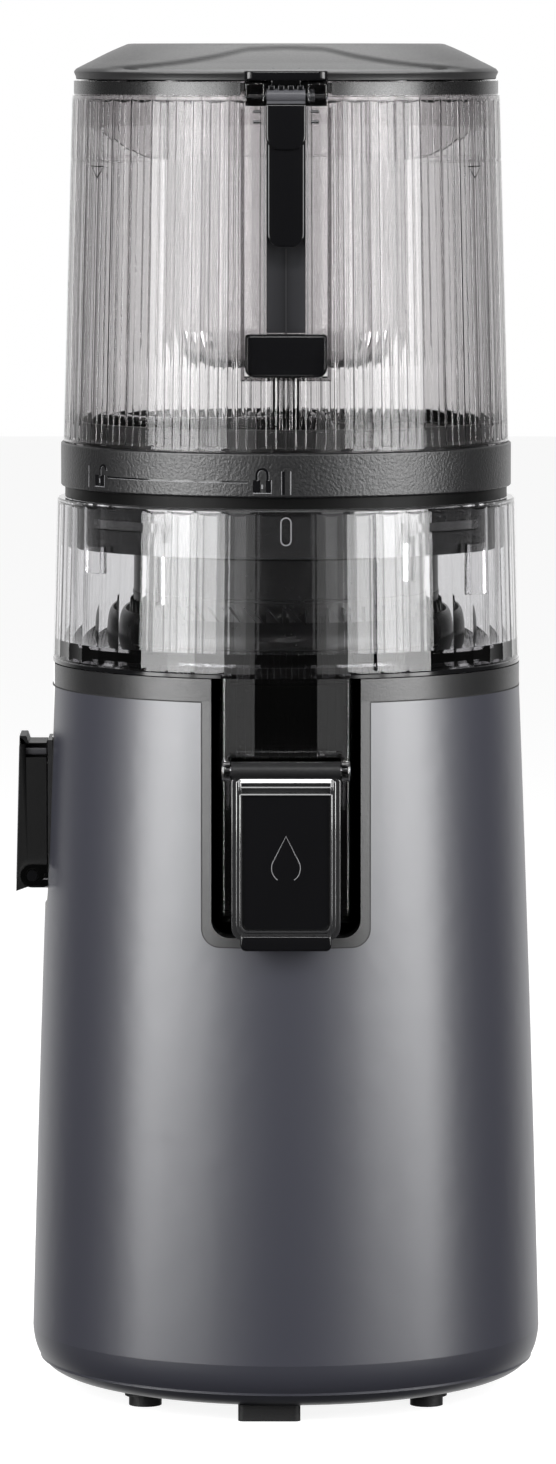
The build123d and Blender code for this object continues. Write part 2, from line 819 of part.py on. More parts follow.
with BuildPart() as control_board:
    block((-board_half, board_half), (board_y, board_y + board_thickness), (board_low_z, board_top_z))
    block(relay_x, (board_y - relay_height, board_y), relay_z)
    block(chip_x, (board_y - chip_height, board_y), chip_z)
control_board.part.label = "control_board"
export_step(control_board.part, "parts/control_board.step")

with BuildPart() as motor_capacitor:
    rod_z(capacitor_x, capacitor_y, capacitor_radius, floor_z, floor_z + capacitor_height)
    fillet(motor_capacitor.faces().sort_by(Axis.Z)[-1].edges(), capacitor_round)
motor_capacitor.part.label = "motor_capacitor"
export_step(motor_capacitor.part, "parts/motor_capacitor.step")

with BuildPart() as cord_gland:
    gland_back_y = gland_wall_y + gland_outside
    rod_y(0, (gland_wall_y - gland_inside, gland_back_y), gland_z, gland_radius)
    rod_y(0, (gland_back_y - gland_flange, gland_back_y), gland_z, gland_radius + gland_flange_reach)
    rod_y(0, (0, far), gland_z, gland_bore, Mode.SUBTRACT)
cord_gland.part.label = "cord_gland"
export_step(cord_gland.part, "parts/cord_gland.step")

with BuildPart() as interlock_sensor:
    sensor_y = (well_radius + well_wall, well_radius + well_wall + sensor_depth)
    sensor_top_z = body_top_z - sensor_drop
    block((-sensor_half, sensor_half), sensor_y, (sensor_top_z - sensor_height, sensor_top_z))
interlock_sensor.part.label = "interlock_sensor"
export_step(interlock_sensor.part, "parts/interlock_sensor.step")

with BuildPart() as power_knob:
    rod_y(0, (knob_back_y, knob_back_y + knob_depth), knob_z, knob_radius)
    fillet(power_knob.faces().sort_by(Axis.Y)[-1].edges(), knob_round)
    knob_front_y = knob_back_y + knob_depth
    grip_length = knob_radius - grip_inset
    block((-grip_half, grip_half), (knob_back_y + knob_plate, knob_front_y),
          (knob_z - grip_length, knob_z + grip_length))
    for side in (-1, 1):
        cut_x = sorted((side * grip_half, side * knob_radius))
        block(cut_x, (knob_back_y + knob_disc, knob_front_y + overrun),
              (knob_z - knob_radius, knob_z + knob_radius), mode=Mode.SUBTRACT)
    rod_y(0, (switch_back_y - switch_bore + overrun, knob_back_y), knob_z, knob_shaft_radius)
power_knob.part.label = "power_knob"
export_step(power_knob.part, "parts/power_knob.step")

# ---------------------------------------------------------------- juicing chamber

skirt_low_z = slot_low_z + skirt_rise
outlet_low_z = bowl_floor_z + outlet_rise
outlet_high_z = outlet_low_z + outlet_height
nozzle_y = max(body_radius_at(slot_low_z), shoulder_radius) + nozzle_reach
cap_pivot_z = outlet_high_z + cap_pivot_rise
cap_back_y = nozzle_y + easy_gap
cap_pivot_y = cap_back_y + cap_barrel
pulp_low_z = bowl_floor_z + pulp_hole_rise
pulp_high_z = pulp_low_z + pulp_hole_height
pulp_skirt_low_z = pulp_low_z - pulp_skirt_drop
gasket_wall_x = body_radius_at(pulp_low_z) - gasket_inset
gasket_seat_x = max(chamber_low_radius + gasket_stand, gasket_wall_x - gasket_thickness)
gasket_x = gasket_seat_x + gasket_thickness
lever_back_x = gasket_x + easy_gap
lever_pivot_x = lever_back_x + lever_barrel + lever_barrel_gap
lever_pivot_z = pulp_low_z - lever_pivot_drop
lever_ear_low_y = lever_half + ear_gap
lever_ear_high_y = lever_ear_low_y + lever_ear_thickness
cap_ear_low_x = cap_half + ear_gap
cap_ear_high_x = cap_ear_low_x + ear_thickness
chimney_inner = liner_boss_radius + chimney_gap
chimney_outer = chimney_inner + chimney_wall
chimney_top_z = liner_boss_top_z + chimney_rise
chamber_ledge_z = chamber_seat_z + chamber_wall
bayonet_z = chamber_top_z - bayonet_drop

with BuildPart() as juice_chamber:
    block((-skirt_half, skirt_half), (-far, 0), (skirt_low_z, chamber_seat_z))
    block((-far, 0), (-pulp_skirt_half, pulp_skirt_half), (pulp_skirt_low_z, chamber_seat_z))
    disc(chamber_low_radius, bowl_low_z, chamber_seat_z, mode=Mode.INTERSECT)
    disc(bowl_outer, bowl_low_z, chamber_seat_z)
    turned((
        (0, chamber_seat_z),
        (chamber_low_radius, chamber_seat_z),
        (chamber_high_radius, chamber_top_z),
        (0, chamber_top_z),
    ))
    turned(
        (
            (0, chamber_ledge_z),
            (bowl_inner + ledge_width, chamber_ledge_z),
            (chamber_low_radius - chamber_wall, chamber_ledge_z + ledge_slope),
            (chamber_high_radius - chamber_wall, chamber_top_z),
            (0, chamber_top_z),
        ),
        mode=Mode.SUBTRACT,
    )
    disc(bowl_inner, bowl_floor_z, chamber_ledge_z + overrun, mode=Mode.SUBTRACT)
    block(
        (-skirt_half + nozzle_wall, skirt_half - nozzle_wall),
        (-chamber_low_radius + nozzle_wall + overrun, -bowl_outer - overrun),
        (skirt_low_z - overrun, chamber_seat_z - nozzle_wall),
        mode=Mode.SUBTRACT,
    )
    block(
        (-outlet_half - nozzle_wall, outlet_half + nozzle_wall),
        (-nozzle_y, -bowl_inner + nozzle_root),
        (outlet_low_z - nozzle_wall, outlet_high_z + nozzle_wall),
    )
    for side in (-1, 1):
        ear_x = sorted((side * cap_ear_low_x, side * cap_ear_high_x))
        ear_z = (cap_pivot_z - cap_barrel, cap_pivot_z + cap_barrel)
        block(ear_x, (-cap_pivot_y, -chamber_low_radius + nozzle_wall + nozzle_root), ear_z)
        rod_x(ear_x, -cap_pivot_y, cap_pivot_z, cap_barrel)
    rod_x((-far, far), -cap_pivot_y, cap_pivot_z, cap_pin_radius, mode=Mode.SUBTRACT)
    block((-outlet_half, outlet_half), (-nozzle_y - overrun, -bowl_inner + outlet_depth),
          (outlet_low_z, outlet_high_z), mode=Mode.SUBTRACT)
    disc(bowl_inner, bowl_floor_z, outlet_low_z, mode=Mode.SUBTRACT)
    block((-gasket_seat_x, -bowl_outer + nozzle_root), (-pulp_skirt_half, pulp_skirt_half),
          (pulp_skirt_low_z, pulp_high_z + gasket_top_margin + overrun))
    for side in (-1, 1):
        ear_y = sorted((side * lever_ear_low_y, side * lever_ear_high_y))
        ear_z = (lever_pivot_z - lever_barrel, lever_pivot_z + lever_barrel)
        block((-lever_pivot_x, -bowl_outer - outlet_depth), ear_y, ear_z)
        rod_y(-lever_pivot_x, ear_y, lever_pivot_z, lever_barrel)
    rod_y(-lever_pivot_x, (-far, far), lever_pivot_z, lever_pin_radius, Mode.SUBTRACT)
    block((-far, -bowl_inner + outlet_depth), (-pulp_hole_half, pulp_hole_half), (pulp_low_z, pulp_high_z),
          mode=Mode.SUBTRACT)
    disc(chimney_outer, bowl_low_z, chimney_top_z)
    disc(chimney_inner, bowl_low_z - overrun, chimney_top_z - bowl_wall, mode=Mode.SUBTRACT)
    disc(hex_across / 2 + hub_hole_gap, bowl_low_z, chimney_top_z + overrun, mode=Mode.SUBTRACT)
    for lug in range(lug_count):
        angle = twist_rest_angle + lug * 360 / lug_count
        lug_inner = collar_skirt_radius + easy_gap
        lug_outer = chamber_high_radius - chamber_wall + overrun
        ring_sector(lug_outer, lug_inner, bayonet_z, lug_height, lug_span, angle)
juice_chamber.part.label = "juice_chamber"
export_step(juice_chamber.part, "parts/juice_chamber.step")

chamber_seal_height = 3.0
chamber_seal_wall = 5.0

with BuildPart() as chamber_seal:
    seal_bore = hex_across / 2 + hub_hole_gap
    tube(seal_bore + chamber_seal_wall, seal_bore, chimney_top_z, chimney_top_z + chamber_seal_height)
chamber_seal.part.label = "chamber_seal"
export_step(chamber_seal.part, "parts/chamber_seal.step")

with BuildPart() as pulp_port_gasket:
    block((-gasket_x, -gasket_seat_x), (-pulp_skirt_half, pulp_skirt_half),
          (pulp_low_z - gasket_margin, pulp_high_z + gasket_top_margin))
    block((-far, 0), (-pulp_hole_half, pulp_hole_half), (pulp_low_z, pulp_high_z),
          mode=Mode.SUBTRACT)
pulp_port_gasket.part.label = "pulp_port_gasket"
export_step(pulp_port_gasket.part, "parts/pulp_port_gasket.step")

with BuildPart() as juice_cap_pin:
    rod_x((-cap_ear_high_x, cap_ear_high_x), -cap_pivot_y, cap_pivot_z, cap_pin_radius)
juice_cap_pin.part.label = "juice_cap_pin"
export_step(juice_cap_pin.part, "parts/juice_cap_pin.step")

with BuildPart() as pulp_lever_pin:
    rod_y(-lever_pivot_x, (-lever_ear_high_y, lever_ear_high_y), lever_pivot_z, lever_pin_radius)
pulp_lever_pin.part.label = "pulp_lever_pin"
export_step(pulp_lever_pin.part, "parts/pulp_lever_pin.step")

# ---------------------------------------------------------------- juice cap

cap_low_z = cap_pivot_z - cap_hang
cap_front_y = cap_back_y + cap_thickness
panel_high_z = cap_pivot_z - panel_drop
panel_low_z = panel_high_z - panel_height
panel_seat_y = cap_front_y - panel_thickness + panel_proud
cap_lip_inset = 3.0
cap_lip_root = 4.0
cap_groove_low = 2.0
cap_groove_high = 1.0
drop_rise = 16.7
drop_radius = 4.8
drop_height = 14.4
drop_line = 0.9
drop_depth = 0.4

with BuildPart() as juice_cap:
    block((-cap_half, cap_half), (-cap_front_y, -cap_back_y), (cap_low_z, cap_pivot_z))
    fillet(juice_cap.edges().filter_by(Axis.Y).group_by(Axis.Z)[0], cap_corner)
    lip_half = cap_half - cap_lip_inset
    lip_y = (-cap_front_y - panel_proud, -cap_front_y + cap_lip_root)
    block((-lip_half, lip_half), lip_y, (cap_low_z - cap_lip, cap_low_z + cap_lip_root))
    rod_x((-cap_half, cap_half), -cap_pivot_y, cap_pivot_z, cap_barrel)
    block((-cap_half, cap_half), (-cap_front_y - overrun, -cap_pivot_y - cap_barrel),
          (cap_pivot_z - cap_groove_low, cap_pivot_z + cap_groove_high), mode=Mode.SUBTRACT)
    block(
        (-panel_half - fit_gap, panel_half + fit_gap),
        (-cap_front_y - overrun, -panel_seat_y),
        (panel_low_z - fit_gap, panel_high_z + fit_gap),
        mode=Mode.SUBTRACT,
    )
    rod_x((-cap_half, cap_half), -cap_pivot_y, cap_pivot_z, cap_pin_radius + shaft_play, mode=Mode.SUBTRACT)
juice_cap.part.label = "juice_cap"
export_step(juice_cap.part, "parts/juice_cap.step")

with BuildPart() as cap_panel:
    panel_y = (-panel_seat_y - panel_thickness, -panel_seat_y)
    block((-panel_half, panel_half), panel_y, (panel_low_z, panel_high_z))
    fillet(cap_panel.edges().filter_by(Axis.Y), panel_corner)
    drop_low_z = panel_low_z + drop_rise
    drop_centre_z = drop_low_z + drop_radius
    drop_apex_z = drop_low_z + drop_height
    with BuildSketch(Plane.XZ.offset(panel_seat_y + panel_thickness)):
        with BuildLine() as outline:
            Line((0, drop_apex_z), (drop_radius, drop_centre_z))
            RadiusArc((drop_radius, drop_centre_z), (-drop_radius, drop_centre_z), drop_radius)
            Line((-drop_radius, drop_centre_z), (0, drop_apex_z))
        make_face()
        offset(amount=-drop_line, mode=Mode.SUBTRACT)
    extrude(amount=-drop_depth, mode=Mode.SUBTRACT)
cap_panel.part.label = "cap_panel"
export_step(cap_panel.part, "parts/cap_panel.step")

with BuildPart() as cap_seal:
    block(
        (-outlet_half + plug_margin, outlet_half - plug_margin),
        (-cap_back_y, -cap_back_y + plug_depth),
        (outlet_low_z + plug_margin + plug_end_gap, outlet_high_z - plug_margin),
    )
cap_seal.part.label = "cap_seal"
export_step(cap_seal.part, "parts/cap_seal.step")

# ---------------------------------------------------------------- pulp lever

lever_top_z = lever_pivot_z + lever_length
lever_front_x = lever_back_x + lever_depth
lever_plate_x = lever_front_x + lever_plate
lever_y = (-lever_half, lever_half)
lever_foot_gap = 0.5
plate_top_rise = 2.4
plate_lean = 1.3
plate_root = 0.1

with BuildPart() as pulp_lever:
    block((-lever_front_x, -lever_back_x), lever_y, (lever_pivot_z + lever_foot_gap, lever_top_z))
    rod_y(-lever_pivot_x, lever_y, lever_pivot_z, lever_barrel)
    with BuildSketch(Plane.XZ):
        with BuildLine():
            Polyline(
                (-lever_pivot_x - overrun, lever_pivot_z - lever_barrel + plate_root),
                (-lever_plate_x, lever_pivot_z - lever_overhang),
                (-lever_plate_x + plate_lean, lever_top_z + plate_top_rise),
                (-lever_front_x + overrun, lever_top_z),
                (-lever_pivot_x, lever_pivot_z + overrun),
                close=True,
            )
        make_face()
    extrude(amount=lever_half, both=True)
    rod_y(-lever_pivot_x, lever_y, lever_pivot_z, lever_pin_radius + shaft_play, Mode.SUBTRACT)
pulp_lever.part.label = "pulp_lever"
export_step(pulp_lever.part, "parts/pulp_lever.step")

with BuildPart() as pulp_plug:
    block(
        (-lever_back_x, -lever_back_x + plug_depth),
        (-pulp_hole_half + plug_margin, pulp_hole_half - plug_margin),
        (pulp_low_z + plug_margin, pulp_high_z - plug_margin - plug_end_gap),
    )
pulp_plug.part.label = "pulp_plug"
export_step(pulp_plug.part, "parts/pulp_plug.step")

# ---------------------------------------------------------------- screws

socket_cap = 2.0
socket_wall = 4.0
screw_foot_gap = 3.0
shoulder_rise = 12.0
screw_rise = 38.0
shoulder_inset = 5.0
shoulder_height = 8.0
screw_floor_gap = 1.0
screw_hub_wall = 3.0
slit_depth = 30.0
slit_length = 60.0
sweeper_count = 6
sweeper_span = 65
sweeper_width = 4.0
sweeper_lift = 1.5
sweeper_rise = 3.0
sweeper_root = 2.0
sweeper_shift = 3.0

hub_low_z = chimney_top_z + chamber_seal_height + running_gap
socket_top_z = drive_top_z + socket_cap
socket_radius = hex_across / 2 + socket_wall
screw_outer = bowl_inner - screw_gap
screw_low_z = bowl_floor_z + screw_foot_gap
screw_shoulder_z = chamber_seat_z + shoulder_rise
screw_top_z = chamber_seat_z + screw_rise
screw_inner = screw_outer - screw_wall - screw_flare
neck_outer = screw_outer - shoulder_inset
hub_inner = chimney_outer + screw_floor_gap
hub_outer = hub_inner + screw_hub_wall
sweeper_low_z = chamber_ledge_z + sweeper_lift
sweeper_reach = chamber_low_radius - chamber_wall - sweeper_gap - sweeper_width / 2
sweeper_top_z = screw_shoulder_z + sweeper_rise

with BuildPart() as outer_screw:
    turned((
        (hub_inner, screw_low_z),
        (screw_outer - screw_flare, screw_low_z),
        (screw_outer, screw_shoulder_z),
        (neck_outer, screw_shoulder_z + shoulder_height),
        (neck_outer, screw_top_z),
        (neck_outer - screw_wall, screw_top_z),
        (screw_inner, screw_shoulder_z),
        (screw_inner - screw_floor_gap, screw_low_z + screw_wall),
        (hub_outer, screw_low_z + screw_wall),
        (hub_outer, hub_low_z),
        (hub_inner, hub_low_z),
    ))
    with Locations((0, 0, (screw_low_z + screw_shoulder_z) / 2)):
        with PolarLocations(screw_outer, slit_count):
            Box(slit_depth, slit_width, slit_length, mode=Mode.SUBTRACT)
    with BuildSketch(Plane.XY.offset(sweeper_low_z)):
        with PolarLocations(0, sweeper_count):
            sweeper_bend = sweeper_reach / 2 + 1
            SlotArc(CenterArc((sweeper_reach / 2 - sweeper_shift, 0), sweeper_bend, 0, sweeper_span),
                    sweeper_width)
        Circle(screw_outer - sweeper_root, mode=Mode.SUBTRACT)
    extrude(amount=sweeper_top_z - sweeper_low_z)
outer_screw.part.label = "outer_screw"
export_step(outer_screw.part, "parts/outer_screw.step")

core_gap = 8.0
core_high_radius = 26.0
core_foot = 4.0
core_shoulder = 8.0
core_drop = 6.0
neck_radius = 15.0
post_drop = 2.0
rib_thickness = 4.0
rib_reach = 5.0
rib_pitch = 150.0
rib_lean = -8
rib_low_margin = 6.0
rib_high_margin = 10.0

core_low_radius = screw_inner - core_gap
core_top_z = screw_top_z - core_drop
post_low_z = collar_low_z - post_drop
post_top_level = collar_top_z - post_drop

with BuildPart() as inner_screw:
    turned((
        (0, hub_low_z),
        (core_low_radius, hub_low_z),
        (core_low_radius, hub_low_z + core_foot),
        (core_high_radius, core_top_z),
        (neck_radius, core_top_z + core_shoulder),
        (neck_radius, post_low_z),
        (0, post_low_z),
    ))
    hexagon(post_across, post_low_z, post_top_level)
    rib_height = core_top_z - hub_low_z - rib_low_margin - rib_high_margin
    for rib in range(rib_count):
        rib_path = Helix(pitch=rib_pitch, height=rib_height, radius=core_low_radius - overrun,
                         center=(0, 0, hub_low_z + rib_low_margin), cone_angle=rib_lean)
        rib_place = Plane(origin=rib_path @ 0, z_dir=rib_path % 0, x_dir=(1, 0, 0))
        with BuildSketch(rib_place) as rib_section:
            Rectangle(2 * rib_reach, rib_thickness)
        rib_solid = sweep(rib_section.sketch, path=rib_path, is_frenet=True, mode=Mode.PRIVATE)
        add(rib_solid.rotate(Axis.Z, rib * 360 / rib_count))
    disc(socket_radius, 0, socket_top_z, mode=Mode.SUBTRACT)
inner_screw.part.label = "inner_screw"
export_step(inner_screw.part, "parts/inner_screw.step")

with BuildPart() as screw_socket:
    disc(socket_radius, hub_low_z, socket_top_z)
    hexagon(hex_across + 2 * running_gap, 0, drive_top_z + 2 * running_gap, mode=Mode.SUBTRACT)
screw_socket.part.label = "screw_socket"
export_step(screw_socket.part, "parts/screw_socket.step")

floor_top_z = collar_top_z + floor_thickness
floor_radius = hopper_low_radius - hopper_wall - running_gap
wing_reach = floor_radius - wing_gap
wing_hub_radius = 13.0
wing_lift = 2.5
wing_thickness = 4.0
wing_width = 5.0
wing_span = 165
dome_floor = 1.0
dome_edge = 3.0
dome_rise = 11.5
dome_full = (0.72, 0.66)
shaft_entry = 1.5

dome_low_z = post_top_level + dome_floor
dome_edge_z = dome_low_z + dome_edge
dome_top_z = collar_top_z + dome_rise
bowl_bottom_z = hopper_top_z - bowl_depth
wing_shaft_top_z = bowl_bottom_z + shaft_entry
wing_low_z = floor_top_z + wing_lift

with BuildPart() as cutting_wing:
    disc(wing_hub_radius, post_low_z, dome_low_z + overrun)
    with BuildSketch(Plane.XZ):
        with BuildLine():
            dome = ThreePointArc(
                (wing_dome_radius, dome_edge_z),
                (wing_dome_radius * dome_full[0], dome_edge_z + (dome_top_z - dome_edge_z) * dome_full[1]),
                (0, dome_top_z),
            )
            Polyline(dome @ 1, (0, dome_low_z), (wing_dome_radius, dome_low_z), dome @ 0)
        make_face()
    revolve(axis=Axis.Z)
    disc(wing_shaft_radius, dome_low_z, wing_shaft_top_z)
    with BuildSketch(Plane.XY.offset(wing_low_z)):
        with PolarLocations(0, 2):
            SlotArc(CenterArc((wing_reach / 2 - wing_width / 2, 0), wing_reach / 2, 0, wing_span), wing_width)
    extrude(amount=wing_thickness)
    hexagon(post_across + fit_gap, 0, post_top_level + fit_gap, mode=Mode.SUBTRACT)
cutting_wing.part.label = "cutting_wing"
export_step(cutting_wing.part, "parts/cutting_wing.step")

# ---------------------------------------------------------------- hopper

gasket_step = 1.4

skirt_inner = collar_skirt_radius - collar_skirt_wall
collar_skirt_low_z = collar_low_z - collar_skirt_drop
lug_top_z = bayonet_z - running_gap

with BuildPart() as hopper_collar:
    tube(collar_radius, skirt_inner, collar_low_z, collar_top_z)
    collar_edges = hopper_collar.edges().filter_by(GeomType.CIRCLE).filter_by(
        lambda edge: edge.radius > collar_radius - 1)
    fillet(collar_edges, collar_edge_radius)
hopper_collar.part.label = "hopper_collar"
export_step(hopper_collar.part, "parts/hopper_collar.step")

with BuildPart() as bayonet_ring:
    tube(collar_skirt_radius, skirt_inner, collar_skirt_low_z, collar_low_z)
    for lug in range(lug_count):
        angle = twist_rest_angle + lug * 360 / lug_count
        ring_sector(collar_skirt_radius + lug_reach, collar_skirt_radius - overrun, lug_top_z - lug_height,
                    lug_height, lug_span, angle)
bayonet_ring.part.label = "bayonet_ring"
export_step(bayonet_ring.part, "parts/bayonet_ring.step")

with BuildPart() as hopper_gasket:
    tube(collar_radius - gasket_step, collar_skirt_radius, chamber_top_z + running_gap, collar_low_z)
hopper_gasket.part.label = "hopper_gasket"
export_step(hopper_gasket.part, "parts/hopper_gasket.step")

feed_hole_offset = floor_radius - feed_hole_edge - feed_hole_radius

with BuildPart() as hopper_floor:
    disc(floor_radius, collar_top_z, floor_top_z)
    tube(floor_radius, floor_radius - upstand_wall, floor_top_z, collar_top_z + floor_upstand)
    disc(floor_hole_radius, 0, hopper_top_z, mode=Mode.SUBTRACT)
    rod_z(0, feed_hole_offset, feed_hole_radius, collar_top_z - overrun, floor_top_z + overrun,
          mode=Mode.SUBTRACT)
hopper_floor.part.label = "hopper_floor"
export_step(hopper_floor.part, "parts/hopper_floor.step")

channel_low_z = hopper_top_z - channel_low_drop
channel_high_z = hopper_top_z - channel_high_drop
ledge_z = hopper_top_z - rim_ledge_drop
ledge_radius = rim_radius - rim_ledge_width
hinge_y = rim_radius + hinge_back
hinge_z = hopper_top_z - hinge_drop
hinge_pin_half = hinge_half + ear_gap + hinge_ear

with BuildPart() as hopper_shell:
    turned((
        (0, collar_top_z),
        (hopper_low_radius, collar_top_z),
        (hopper_high_radius, rim_low_z),
        (rim_radius, rim_low_z),
        (rim_radius, hopper_top_z),
        (0, hopper_top_z),
    ))
    turned(
        (
            (0, collar_top_z),
            (hopper_low_radius - hopper_wall, collar_top_z),
            (hopper_high_radius - hopper_wall, rim_low_z),
            (ledge_radius, rim_low_z),
            (ledge_radius, ledge_z),
            (rim_radius - hopper_wall, ledge_z),
            (rim_radius - hopper_wall, hopper_top_z),
            (0, hopper_top_z),
        ),
        mode=Mode.SUBTRACT,
    )
    block(
        (-channel_half - channel_wall, channel_half + channel_wall),
        (-hopper_high_radius + hopper_wall / 2, channel_back_y + channel_wall),
        (channel_low_z - channel_wall, channel_high_z),
    )
    block((-channel_half, channel_half), (-far, channel_back_y), (channel_low_z, hopper_top_z),
          mode=Mode.SUBTRACT)
    for side in (-1, 1):
        ear_x = sorted((side * (hinge_half + ear_gap), side * hinge_pin_half))
        block(ear_x, (rim_radius - hinge_root, hinge_y),
              (hinge_z - hinge_radius, hopper_top_z - hinge_ear_drop))
        rod_x(ear_x, hinge_y, hinge_z, hinge_radius)
    disc(rim_radius - hopper_wall, ledge_z, lid_top_z, mode=Mode.SUBTRACT)
    rod_x((-far, far), hinge_y, hinge_z, hinge_pin_radius, mode=Mode.SUBTRACT)
hopper_shell.part.label = "hopper_shell"
export_step(hopper_shell.part, "parts/hopper_shell.step")

bush_radius = 8.0
bush_drop = 5.0
bush_rise = 4.0

bracket_clear_half = channel_half + bracket_room
flange_top_z = hopper_top_z - running_gap
flange_radius = rim_radius - hopper_wall - running_gap
flange_inner = ledge_radius - bowl_ring_width
ring_skirt_radius = ledge_radius - running_gap
ring_skirt_low_z = flange_top_z - ring_skirt_height

with BuildPart() as bowl_ring:
    tube(flange_radius, flange_inner, ledge_z, flange_top_z)
    tube(ring_skirt_radius, ring_skirt_radius - ring_skirt_wall, ring_skirt_low_z, flange_top_z)
    block((-bracket_clear_half, bracket_clear_half), (-far, 0), (channel_low_z, hopper_top_z),
          mode=Mode.SUBTRACT)
bowl_ring.part.label = "bowl_ring"
export_step(bowl_ring.part, "parts/bowl_ring.step")

with BuildPart() as feed_bowl:
    disc(bowl_radius, bowl_bottom_z, flange_top_z)
    fillet(feed_bowl.faces().sort_by(Axis.Z)[0].edges(), bowl_corner)
    for angle in feed_spoke_angles:
        with Locations(Location((0, 0, ledge_z), (0, 0, angle))):
            Box(flange_radius, 2 * feed_spoke_half, flange_top_z - ledge_z,
                align=(Align.MIN, Align.CENTER, Align.MIN))
    tube(rim_radius, flange_inner, ledge_z, flange_top_z, mode=Mode.SUBTRACT)
    block((-bracket_clear_half, bracket_clear_half), (-far, channel_back_y + bracket_back_room),
          (channel_low_z, hopper_top_z), mode=Mode.SUBTRACT)
    disc(bowl_radius - feed_wall, bowl_bottom_z + bowl_corner, hopper_top_z, mode=Mode.SUBTRACT)
    with BuildSketch(Plane.XZ):
        with BuildLine():
            Polyline(
                (0, bowl_bottom_z + feed_wall),
                (bowl_radius - bowl_corner, bowl_bottom_z + feed_wall),
            )
            RadiusArc(
                (bowl_radius - bowl_corner, bowl_bottom_z + feed_wall),
                (bowl_radius - feed_wall, bowl_bottom_z + bowl_corner),
                -(bowl_corner - feed_wall),
            )
            Polyline(
                (bowl_radius - feed_wall, bowl_bottom_z + bowl_corner),
                (bowl_radius - feed_wall, bowl_bottom_z + bowl_corner + overrun),
                (0, bowl_bottom_z + bowl_corner + overrun),
                (0, bowl_bottom_z + feed_wall),
            )
        make_face()
    revolve(axis=Axis.Z, mode=Mode.SUBTRACT)
    disc(bush_radius, bowl_bottom_z - overrun, bowl_bottom_z + bush_rise + overrun, mode=Mode.SUBTRACT)
feed_bowl.part.label = "feed_bowl"
export_step(feed_bowl.part, "parts/feed_bowl.step")

with BuildPart() as wing_bush:
    bush_low_z = bowl_bottom_z - bush_drop
    disc(bush_radius, bush_low_z, bowl_bottom_z + bush_rise)
    disc(wing_shaft_radius + shaft_play, bush_low_z - overrun, wing_shaft_top_z + easy_gap,
         mode=Mode.SUBTRACT)
wing_bush.part.label = "wing_bush"
export_step(wing_bush.part, "parts/wing_bush.step")

# ---------------------------------------------------------------- latch in the front channel

bracket_proud = 1.1
bracket_depth = 9.0
bracket_back_wall = 1.6
latch_head = 3.3
latch_corner = 4.0
latch_head_round = 1.2
spring_space = 3.2
spring_half = 2.6
spring_gap = 2.0
latch_block_height = 14.3
latch_block_inset = 1.5
latch_block_corner = 0.5

bracket_low_z = channel_high_z
bracket_top_z = hopper_top_z - running_gap
bracket_front_y = -rim_radius - bracket_proud
bracket_back_y = bracket_front_y + bracket_depth
latch_front_y = bracket_front_y + running_gap
latch_back_y = latch_front_y + latch_thickness
latch_pin_y = (latch_front_y + latch_back_y) / 2
latch_pin_z = hopper_top_z - latch_pin_drop
latch_top_z = latch_pin_z + latch_head

with BuildPart() as latch_bracket:
    block((-channel_half, channel_half), (bracket_front_y, bracket_back_y), (bracket_low_z, bracket_top_z))
    slot_half = latch_half + easy_gap
    slot_y = (bracket_front_y - overrun, bracket_back_y - bracket_back_wall)
    slot_z = (bracket_low_z - overrun, bracket_top_z + overrun)
    block((-slot_half, slot_half), slot_y, slot_z, mode=Mode.SUBTRACT)
    block(
        (slot_half - overrun, slot_half + spring_space),
        (bracket_front_y - overrun, latch_back_y + spring_gap),
        (latch_pin_z - spring_half, latch_pin_z + spring_half),
        mode=Mode.SUBTRACT,
    )
    rod_x((-channel_half, channel_half), latch_pin_y, latch_pin_z, latch_pin_radius, mode=Mode.SUBTRACT)
latch_bracket.part.label = "latch_bracket"
export_step(latch_bracket.part, "parts/latch_bracket.step")

with BuildPart() as latch_pin:
    rod_x((-channel_half, channel_half), latch_pin_y, latch_pin_z, latch_pin_radius)
latch_pin.part.label = "latch_pin"
export_step(latch_pin.part, "parts/latch_pin.step")

with BuildPart() as latch_lever:
    latch_z = (latch_pin_z - latch_length, latch_top_z)
    block((-latch_half, latch_half), (latch_front_y, latch_back_y), latch_z)
    fillet(latch_lever.edges().filter_by(Axis.Y).group_by(Axis.Z)[0], latch_corner)
    fillet(latch_lever.edges().filter_by(Axis.X).group_by(Axis.Z)[-1], latch_head_round)
    bore = latch_pin_radius + shaft_play
    rod_x((-latch_half, latch_half), latch_pin_y, latch_pin_z, bore, mode=Mode.SUBTRACT)
latch_lever.part.label = "latch_lever"
export_step(latch_lever.part, "parts/latch_lever.step")

spring_wire = 0.35
spring_play = 0.6
spring_pitch = 0.6
spring_turns = 4
spring_radius = latch_pin_radius + spring_play

with BuildPart() as latch_spring:
    for turn in range(spring_turns):
        coil_x = latch_half + 2 * easy_gap + turn * spring_pitch
        with Locations(Location((coil_x, latch_pin_y, latch_pin_z), (0, 90, 0))):
            Torus(spring_radius, spring_wire)
latch_spring.part.label = "latch_spring"
export_step(latch_spring.part, "parts/latch_spring.step")

with BuildPart() as latch_block:
    block((-channel_half, channel_half), (bracket_front_y + latch_block_inset, channel_back_y),
          (channel_low_z, channel_low_z + latch_block_height))
    fillet(latch_block.edges().filter_by(Axis.Y).group_by(Axis.Z)[0], latch_block_corner)
latch_block.part.label = "latch_block"
export_step(latch_block.part, "parts/latch_block.step")

# ---------------------------------------------------------------- lid

lid_edge = 2.7
catch_half = 14.0
catch_proud = 2.0
catch_height = 3.0
tongue_half = 5.0
tongue_gap = 0.3
tongue_thickness = 2.2
tongue_drop = 4.0
tongue_root = 1.5
hinge_strap_root = 2.4
lid_seal_size = 2.0
tongue_clearance = 1.0

lid_edge_z = lid_low_z + lid_edge

